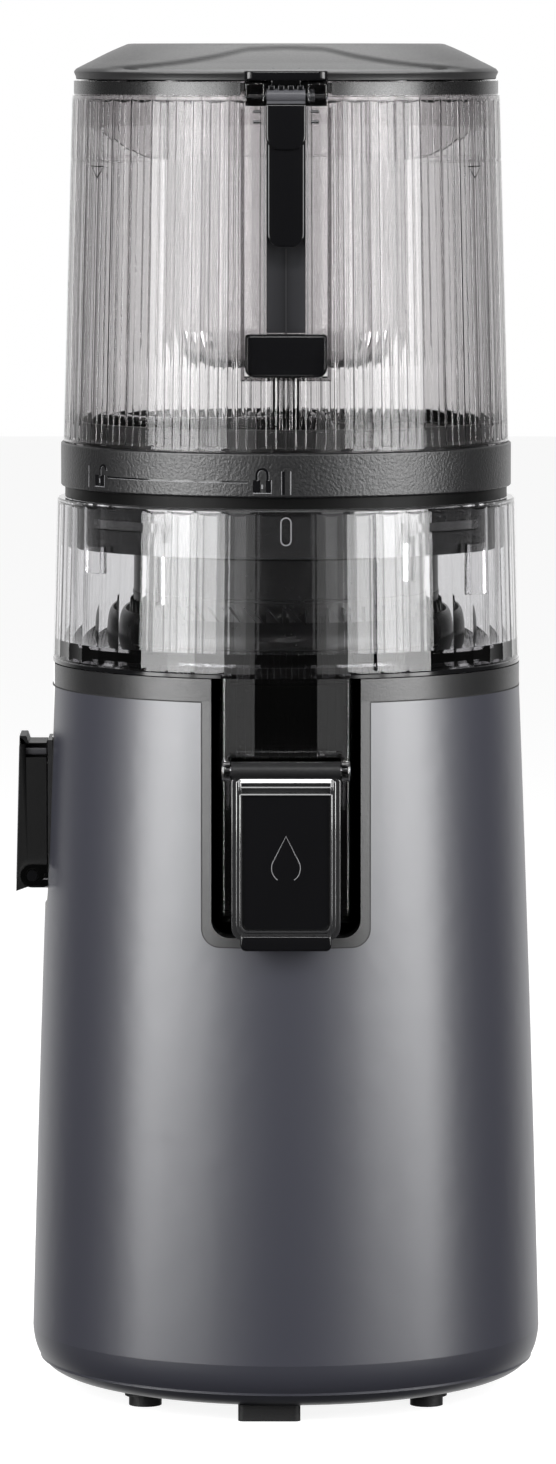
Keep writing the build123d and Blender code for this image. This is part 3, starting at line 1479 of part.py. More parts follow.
with BuildPart() as lid:
    middle_radius = (rim_radius + lid_flat_radius) / 2 + lid_bulge / 2
    middle_z = (lid_edge_z + lid_top_z) / 2 + lid_bulge
    with BuildSketch(Plane.XZ):
        with BuildLine():
            slope = ThreePointArc(
                (rim_radius, lid_edge_z), (middle_radius, middle_z), (lid_flat_radius, lid_top_z))
            Polyline(
                slope @ 1,
                (0, lid_top_z),
                (0, lid_top_z - lid_wall),
                (lid_flat_radius, lid_top_z - lid_wall),
                (rim_radius - lid_wall, lid_edge_z),
                (rim_radius - lid_wall, lid_low_z),
                (rim_radius, lid_low_z),
                slope @ 0,
            )
        make_face()
    revolve(axis=Axis.Z)
    block((-catch_half, catch_half), (-rim_radius - catch_proud, -rim_radius + catch_proud),
          (lid_low_z, lid_low_z + catch_height))
    tongue_y = (latch_back_y + tongue_gap, latch_back_y + tongue_gap + tongue_thickness)
    block((-tongue_half, tongue_half), tongue_y, (hopper_top_z - tongue_drop, lid_edge_z + tongue_root))
    block((-hinge_half, hinge_half), (rim_radius - hinge_strap_root, hinge_y), (lid_low_z, lid_edge_z))
    block((-hinge_half, hinge_half), (hinge_y - hinge_radius, hinge_y + hinge_radius), (hinge_z, lid_edge_z))
    rod_x((-hinge_half, hinge_half), hinge_y, hinge_z, hinge_radius)
    rod_x((-hinge_half, hinge_half), hinge_y, hinge_z, hinge_pin_radius + shaft_play, mode=Mode.SUBTRACT)
lid.part.label = "lid"
export_step(lid.part, "parts/lid.step")

with BuildPart() as lid_hinge_pin:
    rod_x((-hinge_pin_half, hinge_pin_half), hinge_y, hinge_z, hinge_pin_radius)
lid_hinge_pin.part.label = "lid_hinge_pin"
export_step(lid_hinge_pin.part, "parts/lid_hinge_pin.step")

with BuildPart() as lid_seal:
    seal_outer = rim_radius - lid_wall
    tube(seal_outer, seal_outer - lid_seal_size, lid_low_z, lid_low_z + lid_seal_size)
    gap_half = tongue_half + tongue_clearance
    block((-gap_half, gap_half), (-rim_radius, -rim_radius + bracket_depth + tongue_clearance),
          (lid_low_z, lid_top_z), mode=Mode.SUBTRACT)
lid_seal.part.label = "lid_seal"
export_step(lid_seal.part, "parts/lid_seal.step")
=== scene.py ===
import json
from collections import namedtuple
from functools import partial
from math import asin, atan, cos, degrees, pi, radians, sin, sqrt

import bmesh
import bpy
from mathutils import Matrix, Vector


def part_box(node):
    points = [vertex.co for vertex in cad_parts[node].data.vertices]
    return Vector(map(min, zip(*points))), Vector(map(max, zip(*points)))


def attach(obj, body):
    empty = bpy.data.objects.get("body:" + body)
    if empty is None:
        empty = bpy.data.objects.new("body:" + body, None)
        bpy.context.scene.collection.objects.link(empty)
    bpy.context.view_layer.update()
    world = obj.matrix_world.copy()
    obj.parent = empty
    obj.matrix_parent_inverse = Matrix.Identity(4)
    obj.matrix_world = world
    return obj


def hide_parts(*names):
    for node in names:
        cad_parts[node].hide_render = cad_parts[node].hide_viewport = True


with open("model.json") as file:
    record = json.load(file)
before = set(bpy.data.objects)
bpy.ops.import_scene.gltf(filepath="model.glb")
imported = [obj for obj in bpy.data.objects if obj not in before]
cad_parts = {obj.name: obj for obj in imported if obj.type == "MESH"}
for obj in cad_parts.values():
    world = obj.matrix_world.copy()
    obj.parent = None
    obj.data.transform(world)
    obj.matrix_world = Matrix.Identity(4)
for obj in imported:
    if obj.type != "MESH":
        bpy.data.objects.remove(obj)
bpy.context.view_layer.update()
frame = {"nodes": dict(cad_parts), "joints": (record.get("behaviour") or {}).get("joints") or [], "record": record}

# ----- places in the frame, in millimetres

MM = 0.001
NODES = frame["nodes"]
SLOT_OF = {part["node"]: part["material_slot"] for part in frame["record"]["subparts"]}

Box = namedtuple("Box", "left front low right back high")


def box_of(node):
    """The box of a CAD node, to a hundredth of a millimetre."""
    low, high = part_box(node)
    return Box(*(round(c / MM, 2) for c in (*low, *high)))


def pivot_of(name):
    """The point x, y, z that a joint turns about."""
    pivot = next(joint["pos_m"] for joint in frame["joints"] if joint["name"] == name)
    return [round(c / MM, 2) for c in pivot]


BODY = box_of("body_shell")
CHAMBER = box_of("juice_chamber")
SCREW = box_of("outer_screw")
COLLAR = box_of("hopper_collar")
HOPPER = box_of("hopper_shell")
BOWL = box_of("feed_bowl")
LID = box_of("lid")
LATCH = box_of("latch_lever")
BRACKET = box_of("latch_bracket")
BLOCK = box_of("latch_block")
CAP = box_of("juice_cap")
PANEL = box_of("cap_panel")
GATE = box_of("pulp_lever")

# The juicing chamber's wall stands on this height, just over the black trim of the base.
SEAT_Z = box_of("well_liner").high + 0.3
# The feed bowl's flange lies on this height in the top of the hopper.
LEDGE_Z = 446.6
FLANGE_RADIUS = 69.5
SKIRT_RADIUS = 67.2


def new_object(name, data):
    """A new object in the scene."""
    made = bpy.data.objects.new(name, data)
    bpy.context.scene.collection.objects.link(made)
    return made


# ----- camera

PHOTO_WIDTH = 556
PHOTO_HEIGHT = 1464
PHOTO_AXIS_X = 286
# How far the horizon lies above the middle row of the photograph.
PHOTO_HORIZON_RISE = 702
FOCAL_PIXELS = 7396
SENSOR = 36
CAMERA_DISTANCE = 2.533
CAMERA_HEIGHT = 0.4666


def make_camera():
    """The photograph's viewpoint: a long lens a little above the lid, tilted down."""
    camera = new_object("camera", bpy.data.cameras.new("camera"))
    camera.data.sensor_width = SENSOR
    camera.data.lens = SENSOR * FOCAL_PIXELS / PHOTO_HEIGHT
    camera.data.clip_end = 50
    tilt = atan(PHOTO_HORIZON_RISE / FOCAL_PIXELS)
    aside = atan((PHOTO_AXIS_X - PHOTO_WIDTH / 2) / FOCAL_PIXELS)
    camera.location = (0, -CAMERA_DISTANCE, CAMERA_HEIGHT)
    camera.rotation_euler = (pi / 2 - tilt, 0, aside)
    bpy.context.scene.camera = camera


# ----- material tools

DRIFT_SCALE = 18.0
HAZE_SCALE = 60.0
GRAIN_DEPTH = 0.0003
LEAST_ROUGHNESS = 0.02
COAT_ROUGHNESS = 0.1


class Nodes:
    """Short ways to add and join shader nodes in one tree."""

    def __init__(self, tree):
        self.tree = tree
        tree.nodes.clear()

    def add(self, kind, links=None, **values):
        node = self.tree.nodes.new("ShaderNode" + kind)
        for name, value in values.items():
            if hasattr(node, name):
                setattr(node, name, value)
            else:
                node.inputs[name.replace("_", " ")].default_value = value
        for socket, source in (links or {}).items():
            self.join(source, node, socket)
        return node

    def join(self, source, node, socket):
        output = source if isinstance(source, bpy.types.NodeSocket) else source.outputs[0]
        self.tree.links.new(output, node.inputs[socket])


def new_material(name):
    material = bpy.data.materials.new(name)
    material.use_nodes = True
    return material, Nodes(material.node_tree)


def surface(name, color, roughness, metallic=0.0, grain=0.0, scale=400.0, vary=0.06, uneven=0.08,
            ior=1.5, coat=0.0, stretch=(1, 1, 1)):
    """An opaque finish: a colour that drifts a little, uneven roughness and a fine grain."""
    material, n = new_material(name)
    place = n.add("TexCoord")
    mapped = n.add("Mapping", {"Vector": place.outputs["Object"]}, Scale=stretch)
    drift = n.add("TexNoise", {"Vector": mapped}, Scale=DRIFT_SCALE, Detail=3.0)
    fine = n.add("TexNoise", {"Vector": mapped}, Scale=scale, Detail=4.0)
    tint = n.add("Mix", data_type="RGBA")
    tint.inputs["A"].default_value = [c * (1 - vary) for c in color] + [1]
    tint.inputs["B"].default_value = [min(1, c * (1 + vary)) for c in color] + [1]
    n.join(drift.outputs["Fac"], tint, "Factor")
    smoothest = max(LEAST_ROUGHNESS, roughness - uneven)
    rough = n.add("MapRange", {"Value": fine.outputs["Fac"]}, To_Min=smoothest, To_Max=roughness + uneven)
    shader = n.add("BsdfPrincipled", {"Roughness": rough}, Metallic=metallic, IOR=ior)
    n.join(tint.outputs["Result"], shader, "Base Color")
    if coat:
        shader.inputs["Coat Weight"].default_value = coat
        shader.inputs["Coat Roughness"].default_value = COAT_ROUGHNESS
    if grain:
        bump = n.add("Bump", {"Height": fine.outputs["Fac"]}, Strength=grain, Distance=GRAIN_DEPTH)
        n.join(bump, shader, "Normal")
    n.add("OutputMaterial", {"Surface": shader})
    return material


def clear_plastic(name, tint, roughness, absorb, density, ior=1.49):
    """Smoky clear plastic: a glossy skin, a faint moulding haze and absorption through its thickness."""
    material, n = new_material(name)
    place = n.add("TexCoord")
    haze = n.add("TexNoise", {"Vector": place.outputs["Object"]}, Scale=HAZE_SCALE, Detail=2.0)
    rough = n.add("MapRange", {"Value": haze.outputs["Fac"]}, To_Min=roughness * 0.5, To_Max=roughness * 1.5)
    shader = n.add("BsdfPrincipled", {"Roughness": rough}, IOR=ior)
    shader.inputs["Base Color"].default_value = (*tint, 1)
    shader.inputs["Transmission Weight"].default_value = 1.0
    volume = n.add("VolumeAbsorption", Density=density)
    volume.inputs["Color"].default_value = (*absorb, 1)
    n.add("OutputMaterial", {"Surface": shader, "Volume": volume})
    return material


# ----- materials


def make_materials():
    """A finish for each material slot, and some that single pieces have in its place."""
    made = {}
    painted = dict(grain=0.04, scale=2600.0, vary=0.02, uneven=0.03)

    def opaque(name, *look, **more):
        made[name] = surface(name, *look, **more)

    def clear(name, *look, **more):
        made[name] = clear_plastic(name, *look, **more)

    # the base
    opaque("slate_paint", (0.022, 0.0227, 0.033), 0.36, ior=1.95, **painted)
    opaque("slate_plastic", (0.0207, 0.0213, 0.030), 0.37, ior=1.9, **painted)

    # black mouldings
    opaque("black_satin", (0.0045, 0.0045, 0.005), 0.42, grain=0.3, scale=900.0)
    opaque("black_gloss", (0.003, 0.003, 0.0035), 0.12, uneven=0.03)

    # clear and smoky plastics
    clear("smoke_clear", (0.96, 0.955, 0.955), 0.02, (0.45, 0.43, 0.44), 195.0, ior=1.38)
    clear("chamber_clear", (0.97, 0.97, 0.975), 0.02, (0.45, 0.44, 0.46), 75.0)
    opaque("smoke_lid", (0.012, 0.0118, 0.0122), 0.42, grain=0.12, scale=1500.0)
    opaque("rim_smoke", (0.006, 0.006, 0.0062), 0.27, ior=1.6, grain=0.03, scale=1500.0)
    opaque("dark_screw", (0.0022, 0.0022, 0.0025), 0.3, ior=1.3, grain=0.1)

    # rubbers
    opaque("black_rubber", (0.004, 0.004, 0.0045), 0.6, grain=0.3, scale=1200.0)
    opaque("grey_silicone", (0.006, 0.006, 0.0065), 0.45, grain=0.15)

    # metals, a nylon and the board of the inside
    opaque("steel", (0.62, 0.62, 0.64), 0.28, metallic=1.0, grain=0.15, stretch=(1, 1, 12))
    opaque("core_steel", (0.25, 0.25, 0.26), 0.42, metallic=1.0, grain=0.5, scale=300.0,
           stretch=(0.1, 0.1, 6))
    opaque("copper", (0.72, 0.32, 0.14), 0.32, metallic=0.9, grain=0.6, scale=300.0,
           stretch=(1, 1, 8), coat=0.5)
    opaque("cast_alloy", (0.55, 0.56, 0.58), 0.45, metallic=1.0, grain=0.5, scale=700.0)
    opaque("gear_nylon", (0.78, 0.75, 0.66), 0.42, grain=0.1)
    opaque("board_green", (0.03, 0.16, 0.07), 0.25, coat=0.4)

    # marks and thin lines; the light grey is printed marks and also painted highlights along edges
    opaque("mark_grey", (0.16, 0.16, 0.165), 0.3, grain=0.05)
    opaque("mark_dark", (0.03, 0.03, 0.033), 0.4, grain=0.1)
    opaque("strip_grey", (0.06, 0.06, 0.066), 0.35, grain=0.1)

    # finishes of single pieces
    opaque("collar_satin", (0.0045, 0.0045, 0.005), 0.36, ior=1.6, grain=0.6, scale=1100.0)
    opaque("trim_satin", (0.009, 0.009, 0.0095), 0.33, ior=1.65, grain=0.12, scale=1200.0)
    opaque("lever_satin", (0.0035, 0.0035, 0.0035), 0.5, ior=1.32, grain=0.15, scale=1200.0)
    # painted shade: the gasket is darker and duller than its rubber, for the shadowed gap under the collar
    opaque("seal_painted_shade", (0.002, 0.002, 0.002), 0.4, ior=1.2, grain=0.05)
    opaque("polished_edge", (0.02, 0.02, 0.021), 0.08, ior=2.2, uneven=0.02)
    return made


# ----- studio

ROOM_GLOW = 0.06
WALL_GLOW = 1.1
OVERHEAD_GLOW = 0.4
AIM_HEIGHT = 0.24
FLOOR_RADIUS = 6


def make_world():
    """White where it is seen directly; for all else a white wall behind the object in a dim room."""
    world = bpy.data.worlds.new("studio")
    bpy.context.scene.world = world
    world.use_nodes = True
    n = Nodes(world.node_tree)
    direction = n.add("TexCoord")
    parts = n.add("SeparateXYZ", {"Vector": direction.outputs["Generated"]})
    behind = n.add("MapRange", {"Value": parts.outputs["Y"]}, interpolation_type="SMOOTHSTEP",
                   From_Min=0.5, From_Max=0.95, To_Min=ROOM_GLOW, To_Max=WALL_GLOW)
    overhead = n.add("MapRange", {"Value": parts.outputs["Z"]}, interpolation_type="SMOOTHSTEP",
                     From_Min=0.9, From_Max=1.0, To_Min=0.0, To_Max=OVERHEAD_GLOW)
    around = n.add("Math", {0: behind, 1: overhead}, operation="MAXIMUM")
    path = n.add("LightPath")
    seen = n.add("Mix", {"Factor": path.outputs["Is Camera Ray"], "A": around}, data_type="FLOAT", B=1.0)
    background = n.add("Background", {"Strength": seen})
    background.inputs["Color"].default_value = (1, 1, 1, 1)
    n.add("OutputWorld", {"Surface": background})


def softbox(name, azimuth, distance, height, width, tall, power):
    """A light panel that faces the object; azimuth 0 is at the camera, 90 on the right."""
    light = bpy.data.lights.new(name, "AREA")
    light.shape = "RECTANGLE"
    light.size = width
    light.size_y = tall
    light.energy = power
    lamp = new_object(name, light)
    angle = radians(azimuth)
    lamp.location = (distance * sin(angle), -distance * cos(angle), height)
    aim = Vector((0, 0, AIM_HEIGHT)) - lamp.location
    lamp.rotation_euler = aim.to_track_quat("-Z", "Y").to_euler()


def make_key_lights():
    """Three tall panels on each side, the middle one brightest."""
    distance, width, top = 1.3, 0.3, 1.25
    panels = ((-14.0, 7.2, 0.05), (0.0, 10.3, 0.05), (13.5, 8.2, -0.1))
    for side, word, azimuth, scale in ((-1, "left", 52.5, 1.0), (1, "right", 54.0, 0.98)):
        for panel, (away, radiance, bottom) in enumerate(panels):
            tall = top - bottom
            power = scale * radiance * pi * width * tall
            middle = bottom + tall / 2
            softbox(f"key_{word}_{panel}", side * (azimuth + away), distance, middle, width, tall, power)


def make_other_lights():
    """Two weak fills beside the camera, and lights over the back and the front."""
    for word, azimuth in (("left", -23), ("right", 23)):
        softbox("fill_" + word, azimuth, distance=1.5, height=0.65, width=0.3, tall=1.2, power=1.2)
    softbox("top", 180, distance=0.6, height=1.5, width=1.0, tall=1.0, power=11.5)
    softbox("front_top", 0, distance=1.6, height=1.5, width=0.5, tall=0.3, power=5.6)


def make_floor():
    """A pale floor that fades into the white backdrop."""
    bm = bmesh.new()
    bmesh.ops.create_circle(bm, cap_ends=True, radius=FLOOR_RADIUS, segments=96)
    mesh = bpy.data.meshes.new("floor")
    store(bm, mesh)
    floor = new_object("floor", mesh)
    floor.visible_glossy = False
    floor.visible_diffuse = False
    material, n = new_material("floor")
    pale = n.add("BsdfDiffuse")
    pale.inputs["Color"].default_value = (0.3, 0.3, 0.3, 1)
    glow = n.add("Emission", Strength=0.88)
    both = n.add("AddShader", {0: pale, 1: glow})
    n.add("OutputMaterial", {"Surface": both})
    floor.data.materials.append(material)


# ----- mesh tools, in millimetres

SHARP_ANGLE = 14
FACET_SHARP = 6
SMALL_SHARP = 40
WELD = 0.002


def editable(mesh):
    """A bmesh copy of a mesh."""
    bm = bmesh.new()
    bm.from_mesh(mesh)
    return bm


def store(bm, mesh):
    """Writes a bmesh into a mesh."""
    bm.to_mesh(mesh)
    bm.free()


def mesh_piece(name, corners, faces):
    """A new object from corner points in millimetres."""
    mesh = bpy.data.meshes.new(name)
    mesh.from_pydata([[c * MM for c in corner] for corner in corners], [], faces)
    return new_object(name, mesh)


def skin(name, rings, closed=False):
    """A shape from rings of equally many points, its end rings filled or, if closed, joined."""
    count = len(rings[0])
    last = len(rings) - 1
    pairs = [(k, k + 1) for k in range(last)]
    if closed:
        pairs.append((last, 0))
    faces = [(a * count + j, a * count + (j + 1) % count, b * count + (j + 1) % count, b * count + j)
             for a, b in pairs for j in range(count)]
    if not closed:
        faces += [tuple(range(count)), tuple(range(last * count, (last + 1) * count))]
    return mesh_piece(name, [point for ring in rings for point in ring], faces)


def brick(x, y, z, name="brick"):
    """A block between two values of each of x, y and z."""
    corners = [(a, b, c) for c in z for b in y for a in x]
    sides = [(0, 2, 3, 1), (4, 5, 7, 6), (0, 1, 5, 4), (2, 6, 7, 3), (0, 4, 6, 2), (1, 3, 7, 5)]
    return mesh_piece(name, corners, sides)


def rod_x(x, y, z, radius, name="rod", sides=40):
    """A round rod along X between two values of x."""
    angles = [2 * pi * k / sides for k in range(sides)]
    return skin(name, [[(end, y + radius * cos(a), z + radius * sin(a)) for a in angles] for end in x])


def round_point(angle, radius, z):
    """A point at a distance from the centre line. Angles run from the front towards the right."""
    return (radius * sin(radians(angle)), -radius * cos(radians(angle)), z)


def sector(inner, outer, low, high, middle, span, steps=12):
    """A block of a ring about an angle, used to join."""
    section = ((inner, low), (outer, low), (outer, high), (inner, high))
    angles = [middle - span / 2 + span * k / steps for k in range(steps + 1)]
    return skin("sector", [[round_point(angle, r, z) for r, z in section] for angle in angles])


def cad_part(node, name, high=None):
    """A copy of a CAD node's mesh, cut off above a height if one is given."""
    bm = editable(NODES[node].data)
    bmesh.ops.remove_doubles(bm, verts=bm.verts, dist=WELD * MM)
    if high is not None:
        everything = bm.verts[:] + bm.edges[:] + bm.faces[:]
        result = bmesh.ops.bisect_plane(bm, geom=everything, plane_co=(0, 0, high * MM), plane_no=(0, 0, 1),
                                        clear_outer=True)
        rim = [e for e in result["geom_cut"] if isinstance(e, bmesh.types.BMEdge)]
        bmesh.ops.triangle_fill(bm, edges=rim, use_beauty=True)
    mesh = bpy.data.meshes.new(name)
    store(bm, mesh)
    return new_object(name, mesh)


def tidy_normals(piece):
    """Turns all faces of a piece outwards."""
    bm = editable(piece.data)
    bmesh.ops.recalc_face_normals(bm, faces=bm.faces)
    store(bm, piece.data)


def shift(piece, x):
    """Moves the mesh of a piece to the right."""
    piece.data.transform(Matrix.Translation((x * MM, 0, 0)))


def turn(piece, angle):
    """Turns a piece about the centre line by an angle in degrees."""
    piece.data.transform(Matrix.Rotation(radians(angle), 4, "Z"))


def soften(piece, width):
    """Rounds all the edges of a small piece."""
    tidy_normals(piece)
    bm = editable(piece.data)
    bmesh.ops.bevel(bm, geom=bm.edges[:], offset=width * MM, segments=4, profile=0.5, affect="EDGES",
                    clamp_overlap=True)
    store(bm, piece.data)


def boolean(piece, tool, operation):
    """Combines a piece with a tool mesh, and deletes the tool."""
    tidy_normals(tool)
    combine = piece.modifiers.new("combine", "BOOLEAN")
    combine.operation = operation
    combine.solver = "EXACT"
    combine.object = tool
    evaluated = piece.evaluated_get(bpy.context.evaluated_depsgraph_get())
    result = bpy.data.meshes.new_from_object(evaluated)
    piece.modifiers.clear()
    piece.data = result
    bpy.data.objects.remove(tool)


cut = partial(boolean, operation="DIFFERENCE")
join = partial(boolean, operation="UNION")


def set_piece(piece, body, slot, replaced=(), sharp=SHARP_ANGLE, finish=None):
    tidy_normals(piece)
    piece.data.materials.clear()
    piece.data.materials.append(MATERIALS[finish or slot])
    piece.data.polygons.foreach_set("use_smooth", [True] * len(piece.data.polygons))
    piece.data.set_sharp_from_angle(angle=radians(sharp))
    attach(piece, body)
    if replaced:
        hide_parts(*replaced)


def set_small(piece, body, finish="black_gloss", replaced=()):
    """Gives a small piece its finish, black gloss unless another is named, shades it sharp only at steep edges and
    hangs it on its body.
    """
    set_piece(piece, body, "black_gloss", replaced, SMALL_SHARP, finish)


# ----- walls turned about the centre line

FLUTE_ANGLE = 7.5
FLUTE_STEPS = 16
FLUTE_DEPTH = 0.27
FRONT_HALF_ANGLE = 15
FLUTE_RUN_OUT = 3.5
RIB_ANGLE = 2.5
RIB_HALF = 0.15
RIB_HEIGHT = 0.26
RIB_SHARES = (-0.5, -0.41, -RIB_HALF, -0.12, -0.06, 0.0, 0.06, 0.12, RIB_HALF, 0.41)
GROOVE_HALF = 0.09
GROOVE_DEPTH = 0.38
FAINT_GROOVE = 0.45
LINE_ANGLE = 38
RISE_FROM = 36
RISE_OVER = 39

RIBS = round(360 / RIB_ANGLE)
FLUTES = round(360 / FLUTE_ANGLE)
RIB_COLUMNS = [(rib + 0.5 + share) * RIB_ANGLE for rib in range(RIBS) for share in RIB_SHARES]
FLUTE_COLUMNS = [step * FLUTE_ANGLE / FLUTE_STEPS for step in range(FLUTES * FLUTE_STEPS)]
PLAIN_COLUMNS = [step * 1.5 for step in range(240)]

# A ring of a turned outline. flute, rib and groove say how much of each it has. line is how far it stands
# in and rise how far it lifts, away from the front. shift moves it up where the flute is deep, and front
# gives it flutes at the front only.
Ring = namedtuple("Ring", "radius z flute shift rib line rise front groove", defaults=(0,) * 7)


def flute_cut(angle):
    """How deep the hollow of a flute is at an angle."""
    across = 2 * ((angle / FLUTE_ANGLE) % 1) - 1
    return FLUTE_DEPTH * (1 - across * across)


def rib_bump(angle):
    """How far a half-round rib stands in from the inner wall at an angle."""
    across = ((angle / RIB_ANGLE) % 1 - 0.5) / RIB_HALF
    return RIB_HEIGHT * sqrt(max(0, 1 - across * across))


def groove_cut(angle):
    """How deep the fine outer groove between two ribs is; it is full only at the flutes' edges."""
    share = angle / RIB_ANGLE
    away = abs(share - round(share)) / GROOVE_HALF
    at_flute_edge = round(share) % round(FLUTE_ANGLE / RIB_ANGLE) == 0
    full = GROOVE_DEPTH if at_flute_edge else FAINT_GROOVE * GROOVE_DEPTH
    return full * max(0, 1 - away)


def from_front(angle):
    """How far an angle is from the front, 0 to 180."""
    return abs((angle + 180) % 360 - 180)


def side_rise(angle):
    """0 at the front, rising smoothly to 1 at the sides and back."""
    share = min(1, max(0, (from_front(angle) - RISE_FROM) / RISE_OVER))
    return share * share * (3 - 2 * share)


def ring_point(ring, angle):
    """Where a ring's outline is at an angle."""
    at_front = ring.front and from_front(angle) < FRONT_HALF_ANGLE
    flute = 1 if at_front else ring.flute
    radius = ring.radius - flute * flute_cut(angle) - ring.rib * rib_bump(angle)
    radius -= ring.groove * groove_cut(angle)
    if from_front(angle) > LINE_ANGLE:
        radius -= ring.line
    shift_up = 0 if at_front else ring.shift
    return round_point(angle, radius, ring.z + shift_up * flute_cut(angle) + ring.rise * side_rise(angle))


def plain(points):
    """Rings without flutes or ribs from (radius, z) points."""
    return [Ring(*point) for point in points]


def turned(name, rings, columns=PLAIN_COLUMNS):
    """A wall with a closed outline of rings, turned about the centre line."""
    return skin(name, [[ring_point(ring, angle) for angle in columns] for ring in rings], closed=True)


def on_slope(low, high, z, inside=0, **marks):
    """A ring at a height on the straight line between two (radius, z) points, or that far inside it."""
    share = (z - low[1]) / (high[1] - low[1])
    return Ring(low[0] + (high[0] - low[0]) * share - inside, z, **marks)


# ----- outlines, plates and lines


def arc(centre, radius, start, end, steps=10):
    """Points along an arc in a plane, angles in degrees."""
    angles = [radians(start + (end - start) * k / steps) for k in range(steps + 1)]
    return [(centre[0] + radius * cos(a), centre[1] + radius * sin(a)) for a in angles]


def mirrored(points):
    """Points on the other side of x = 0, in reversed order."""
    return [(-x, y) for x, y in points[::-1]]


def rounded(half, low, high, low_corner, high_corner, steps=6):
    """The outline of an upright plate with rounded corners, as (x, z) points."""
    right = arc((half - low_corner, low + low_corner), low_corner, -90, 0, steps)
    right += arc((half - high_corner, high - high_corner), high_corner, 0, 90, steps)
    return right + mirrored(right)


def plan_outline(half, front, back, corner, steps=6):
    """The outline, seen from above, of a block with rounded front corners, as (x, y) points."""
    left = [(-half, back)] + arc((-half + corner, front + corner), corner, 180, 270, steps)
    return left + mirrored(left)


def soft_ends(low, high, width, steps=3):
    """Pairs of (inset, height) that round the two ends of a shape."""
    angles = [radians(90 * k / steps) for k in range(steps + 1)]
    quarter = [(width * (1 - sin(a)), width * (1 - cos(a))) for a in angles]
    ends = [(inset, low + rise) for inset, rise in quarter]
    return ends + [(inset, high - rise) for inset, rise in quarter[::-1]]


def drawn_in(outline, inset):
    """An outline moved in towards its middle by about inset on every side."""
    moved = []
    for values in zip(*outline):
        middle, spread = (min(values) + max(values)) / 2, (max(values) - min(values)) / 2
        share = (spread - inset) / spread
        moved.append([middle + (value - middle) * share for value in values])
    return list(zip(*moved))


def slab(name, outline, low, high, width):
    """A block with a plan outline between two heights, its upper and lower edges rounded."""
    return skin(name, [[(x, y, z) for x, y in drawn_in(outline, inset)]
                       for inset, z in soft_ends(low, high, width)])


def plate(name, outline, front, back, width):
    """An upright plate with an outline of (x, z) points, its front and back edges rounded."""
    return skin(name, [[(x, y, z) for x, z in drawn_in(outline, inset)]
                       for inset, y in soft_ends(front, back, width)])


def prism(name, profile, y):
    """A shape with a profile of (x, z) points between two values of y."""
    return skin(name, [[(x, level, z) for x, z in profile] for level in y])


def stroke(points, width, closed=False):
    """The two sides of a line of a width along points in a plane, mitred at its corners."""
    left, right = [], []
    count = len(points)
    for k, point in enumerate(points):
        before = points[k - 1] if closed or k else point
        after = points[(k + 1) % count] if closed or k < count - 1 else point
        direction = (Vector(after) - Vector(before)).normalized()
        normal = Vector((-direction.y, direction.x)) * width / 2
        left.append(tuple(Vector(point) + normal))
        right.append(tuple(Vector(point) - normal))
    return left, right


def ribbon(name, sides, place, near, far, closed=False):
    """A thin shape between the two sides of a line; place(point, depth) says where a point goes."""
    rings = [[place(a, near), place(b, near), place(b, far), place(a, far)] for a, b in zip(*sides)]
    return skin(name, rings, closed)


def upright(point, y):
    """Places an (x, z) point at a depth y."""
    return (point[0], y, point[1])


# ----- juicing chamber

SKIRT_HALF = 21.6
SKIRT_ROUND = 1.3
SKIRT_SHARES = (1, 0.62, 0.3, 0.08)
CUT_REACH = 1e-7


def make_chamber_wall():
    """The fluted wall above the seat, with lugs and a few uneven ribs on its inside."""
    seat, top, ledge, thick, edge = SEAT_Z, CHAMBER.high, SEAT_Z + 3.0, 3.0, 0.5
    foot, crown, bowl = CHAMBER.right, 78.4, 65.0
    outer = partial(on_slope, (foot, seat), (crown, top))
    rings = [
        Ring(foot - 0.4, seat + 0.02, front=1), outer(seat + 1.6, front=1), outer(seat + 2.1, front=1),
        outer(seat + 2.15, flute=1, shift=FLUTE_RUN_OUT, front=1),
        outer(top - 1.15, flute=1, shift=-FLUTE_RUN_OUT), outer(top - 1.1), outer(top - edge),
        Ring(crown - edge, top), Ring(crown - thick + edge, top), Ring(crown - thick, top - edge),
        Ring(foot - thick, ledge + 5), Ring(bowl + 3, ledge), Ring(bowl, ledge), Ring(bowl, seat + 0.02),
    ]
    wall = turned("chamber_wall", rings, FLUTE_COLUMNS)
    for lug in range(4):
        join(wall, sector(73.5, 76.2, top - 8.5, top - 5.3, middle=45 + 90 * lug, span=24))
    ribs = ((-57.5, 7, 284, 293), (57, 7, 277, 294), (-33.6, 1.6, 275, 291), (33, 2.2, 283, 298))
    for middle, span, low, high in ribs:
        join(wall, sector(73.9, 76.6, low, high, middle, span))
    set_piece(wall, "chamber", "smoke_clear", ["juice_chamber"], FACET_SHARP, "chamber_clear")


def make_chamber_bowl():
    """The chamber below the seat: the bowl, the skirts and the spout."""
    bowl = cad_part("juice_chamber", "chamber_bowl", high=SEAT_Z)
    bm = editable(bowl.data)
    cut_skirt_edges(bm)
    flute_skirt(bm)
    store(bm, bowl.data)
    set_piece(bowl, "chamber", "smoke_clear", ["juice_chamber"], FACET_SHARP, "chamber_clear")


def slice_front(bm, behind, place, normal):
    """Cuts new edges along a plane into the faces in front of a depth."""
    front = [f for f in bm.faces if f.calc_center_median().y < behind * MM]
    geometry = front + list({e for f in front for e in f.edges}) + list({v for f in front for v in f.verts})
    bmesh.ops.bisect_plane(bm, geom=geometry, plane_co=place, plane_no=normal, dist=CUT_REACH)


def cut_skirt_edges(bm, steps=32):
    """Gives the front skirt the upright edges that its flutes and rounded sides need."""
    for k in range(steps + 1):
        angle = radians(FRONT_HALF_ANGLE * (2 * k / steps - 1))
        slice_front(bm, -50, (0, 0, 0), (cos(angle), sin(angle), 0))
    for side in (-1, 1):
        for share in SKIRT_SHARES:
            slice_front(bm, -70, (side * (SKIRT_HALF - SKIRT_ROUND * share) * MM, 0, 0), (1, 0, 0))


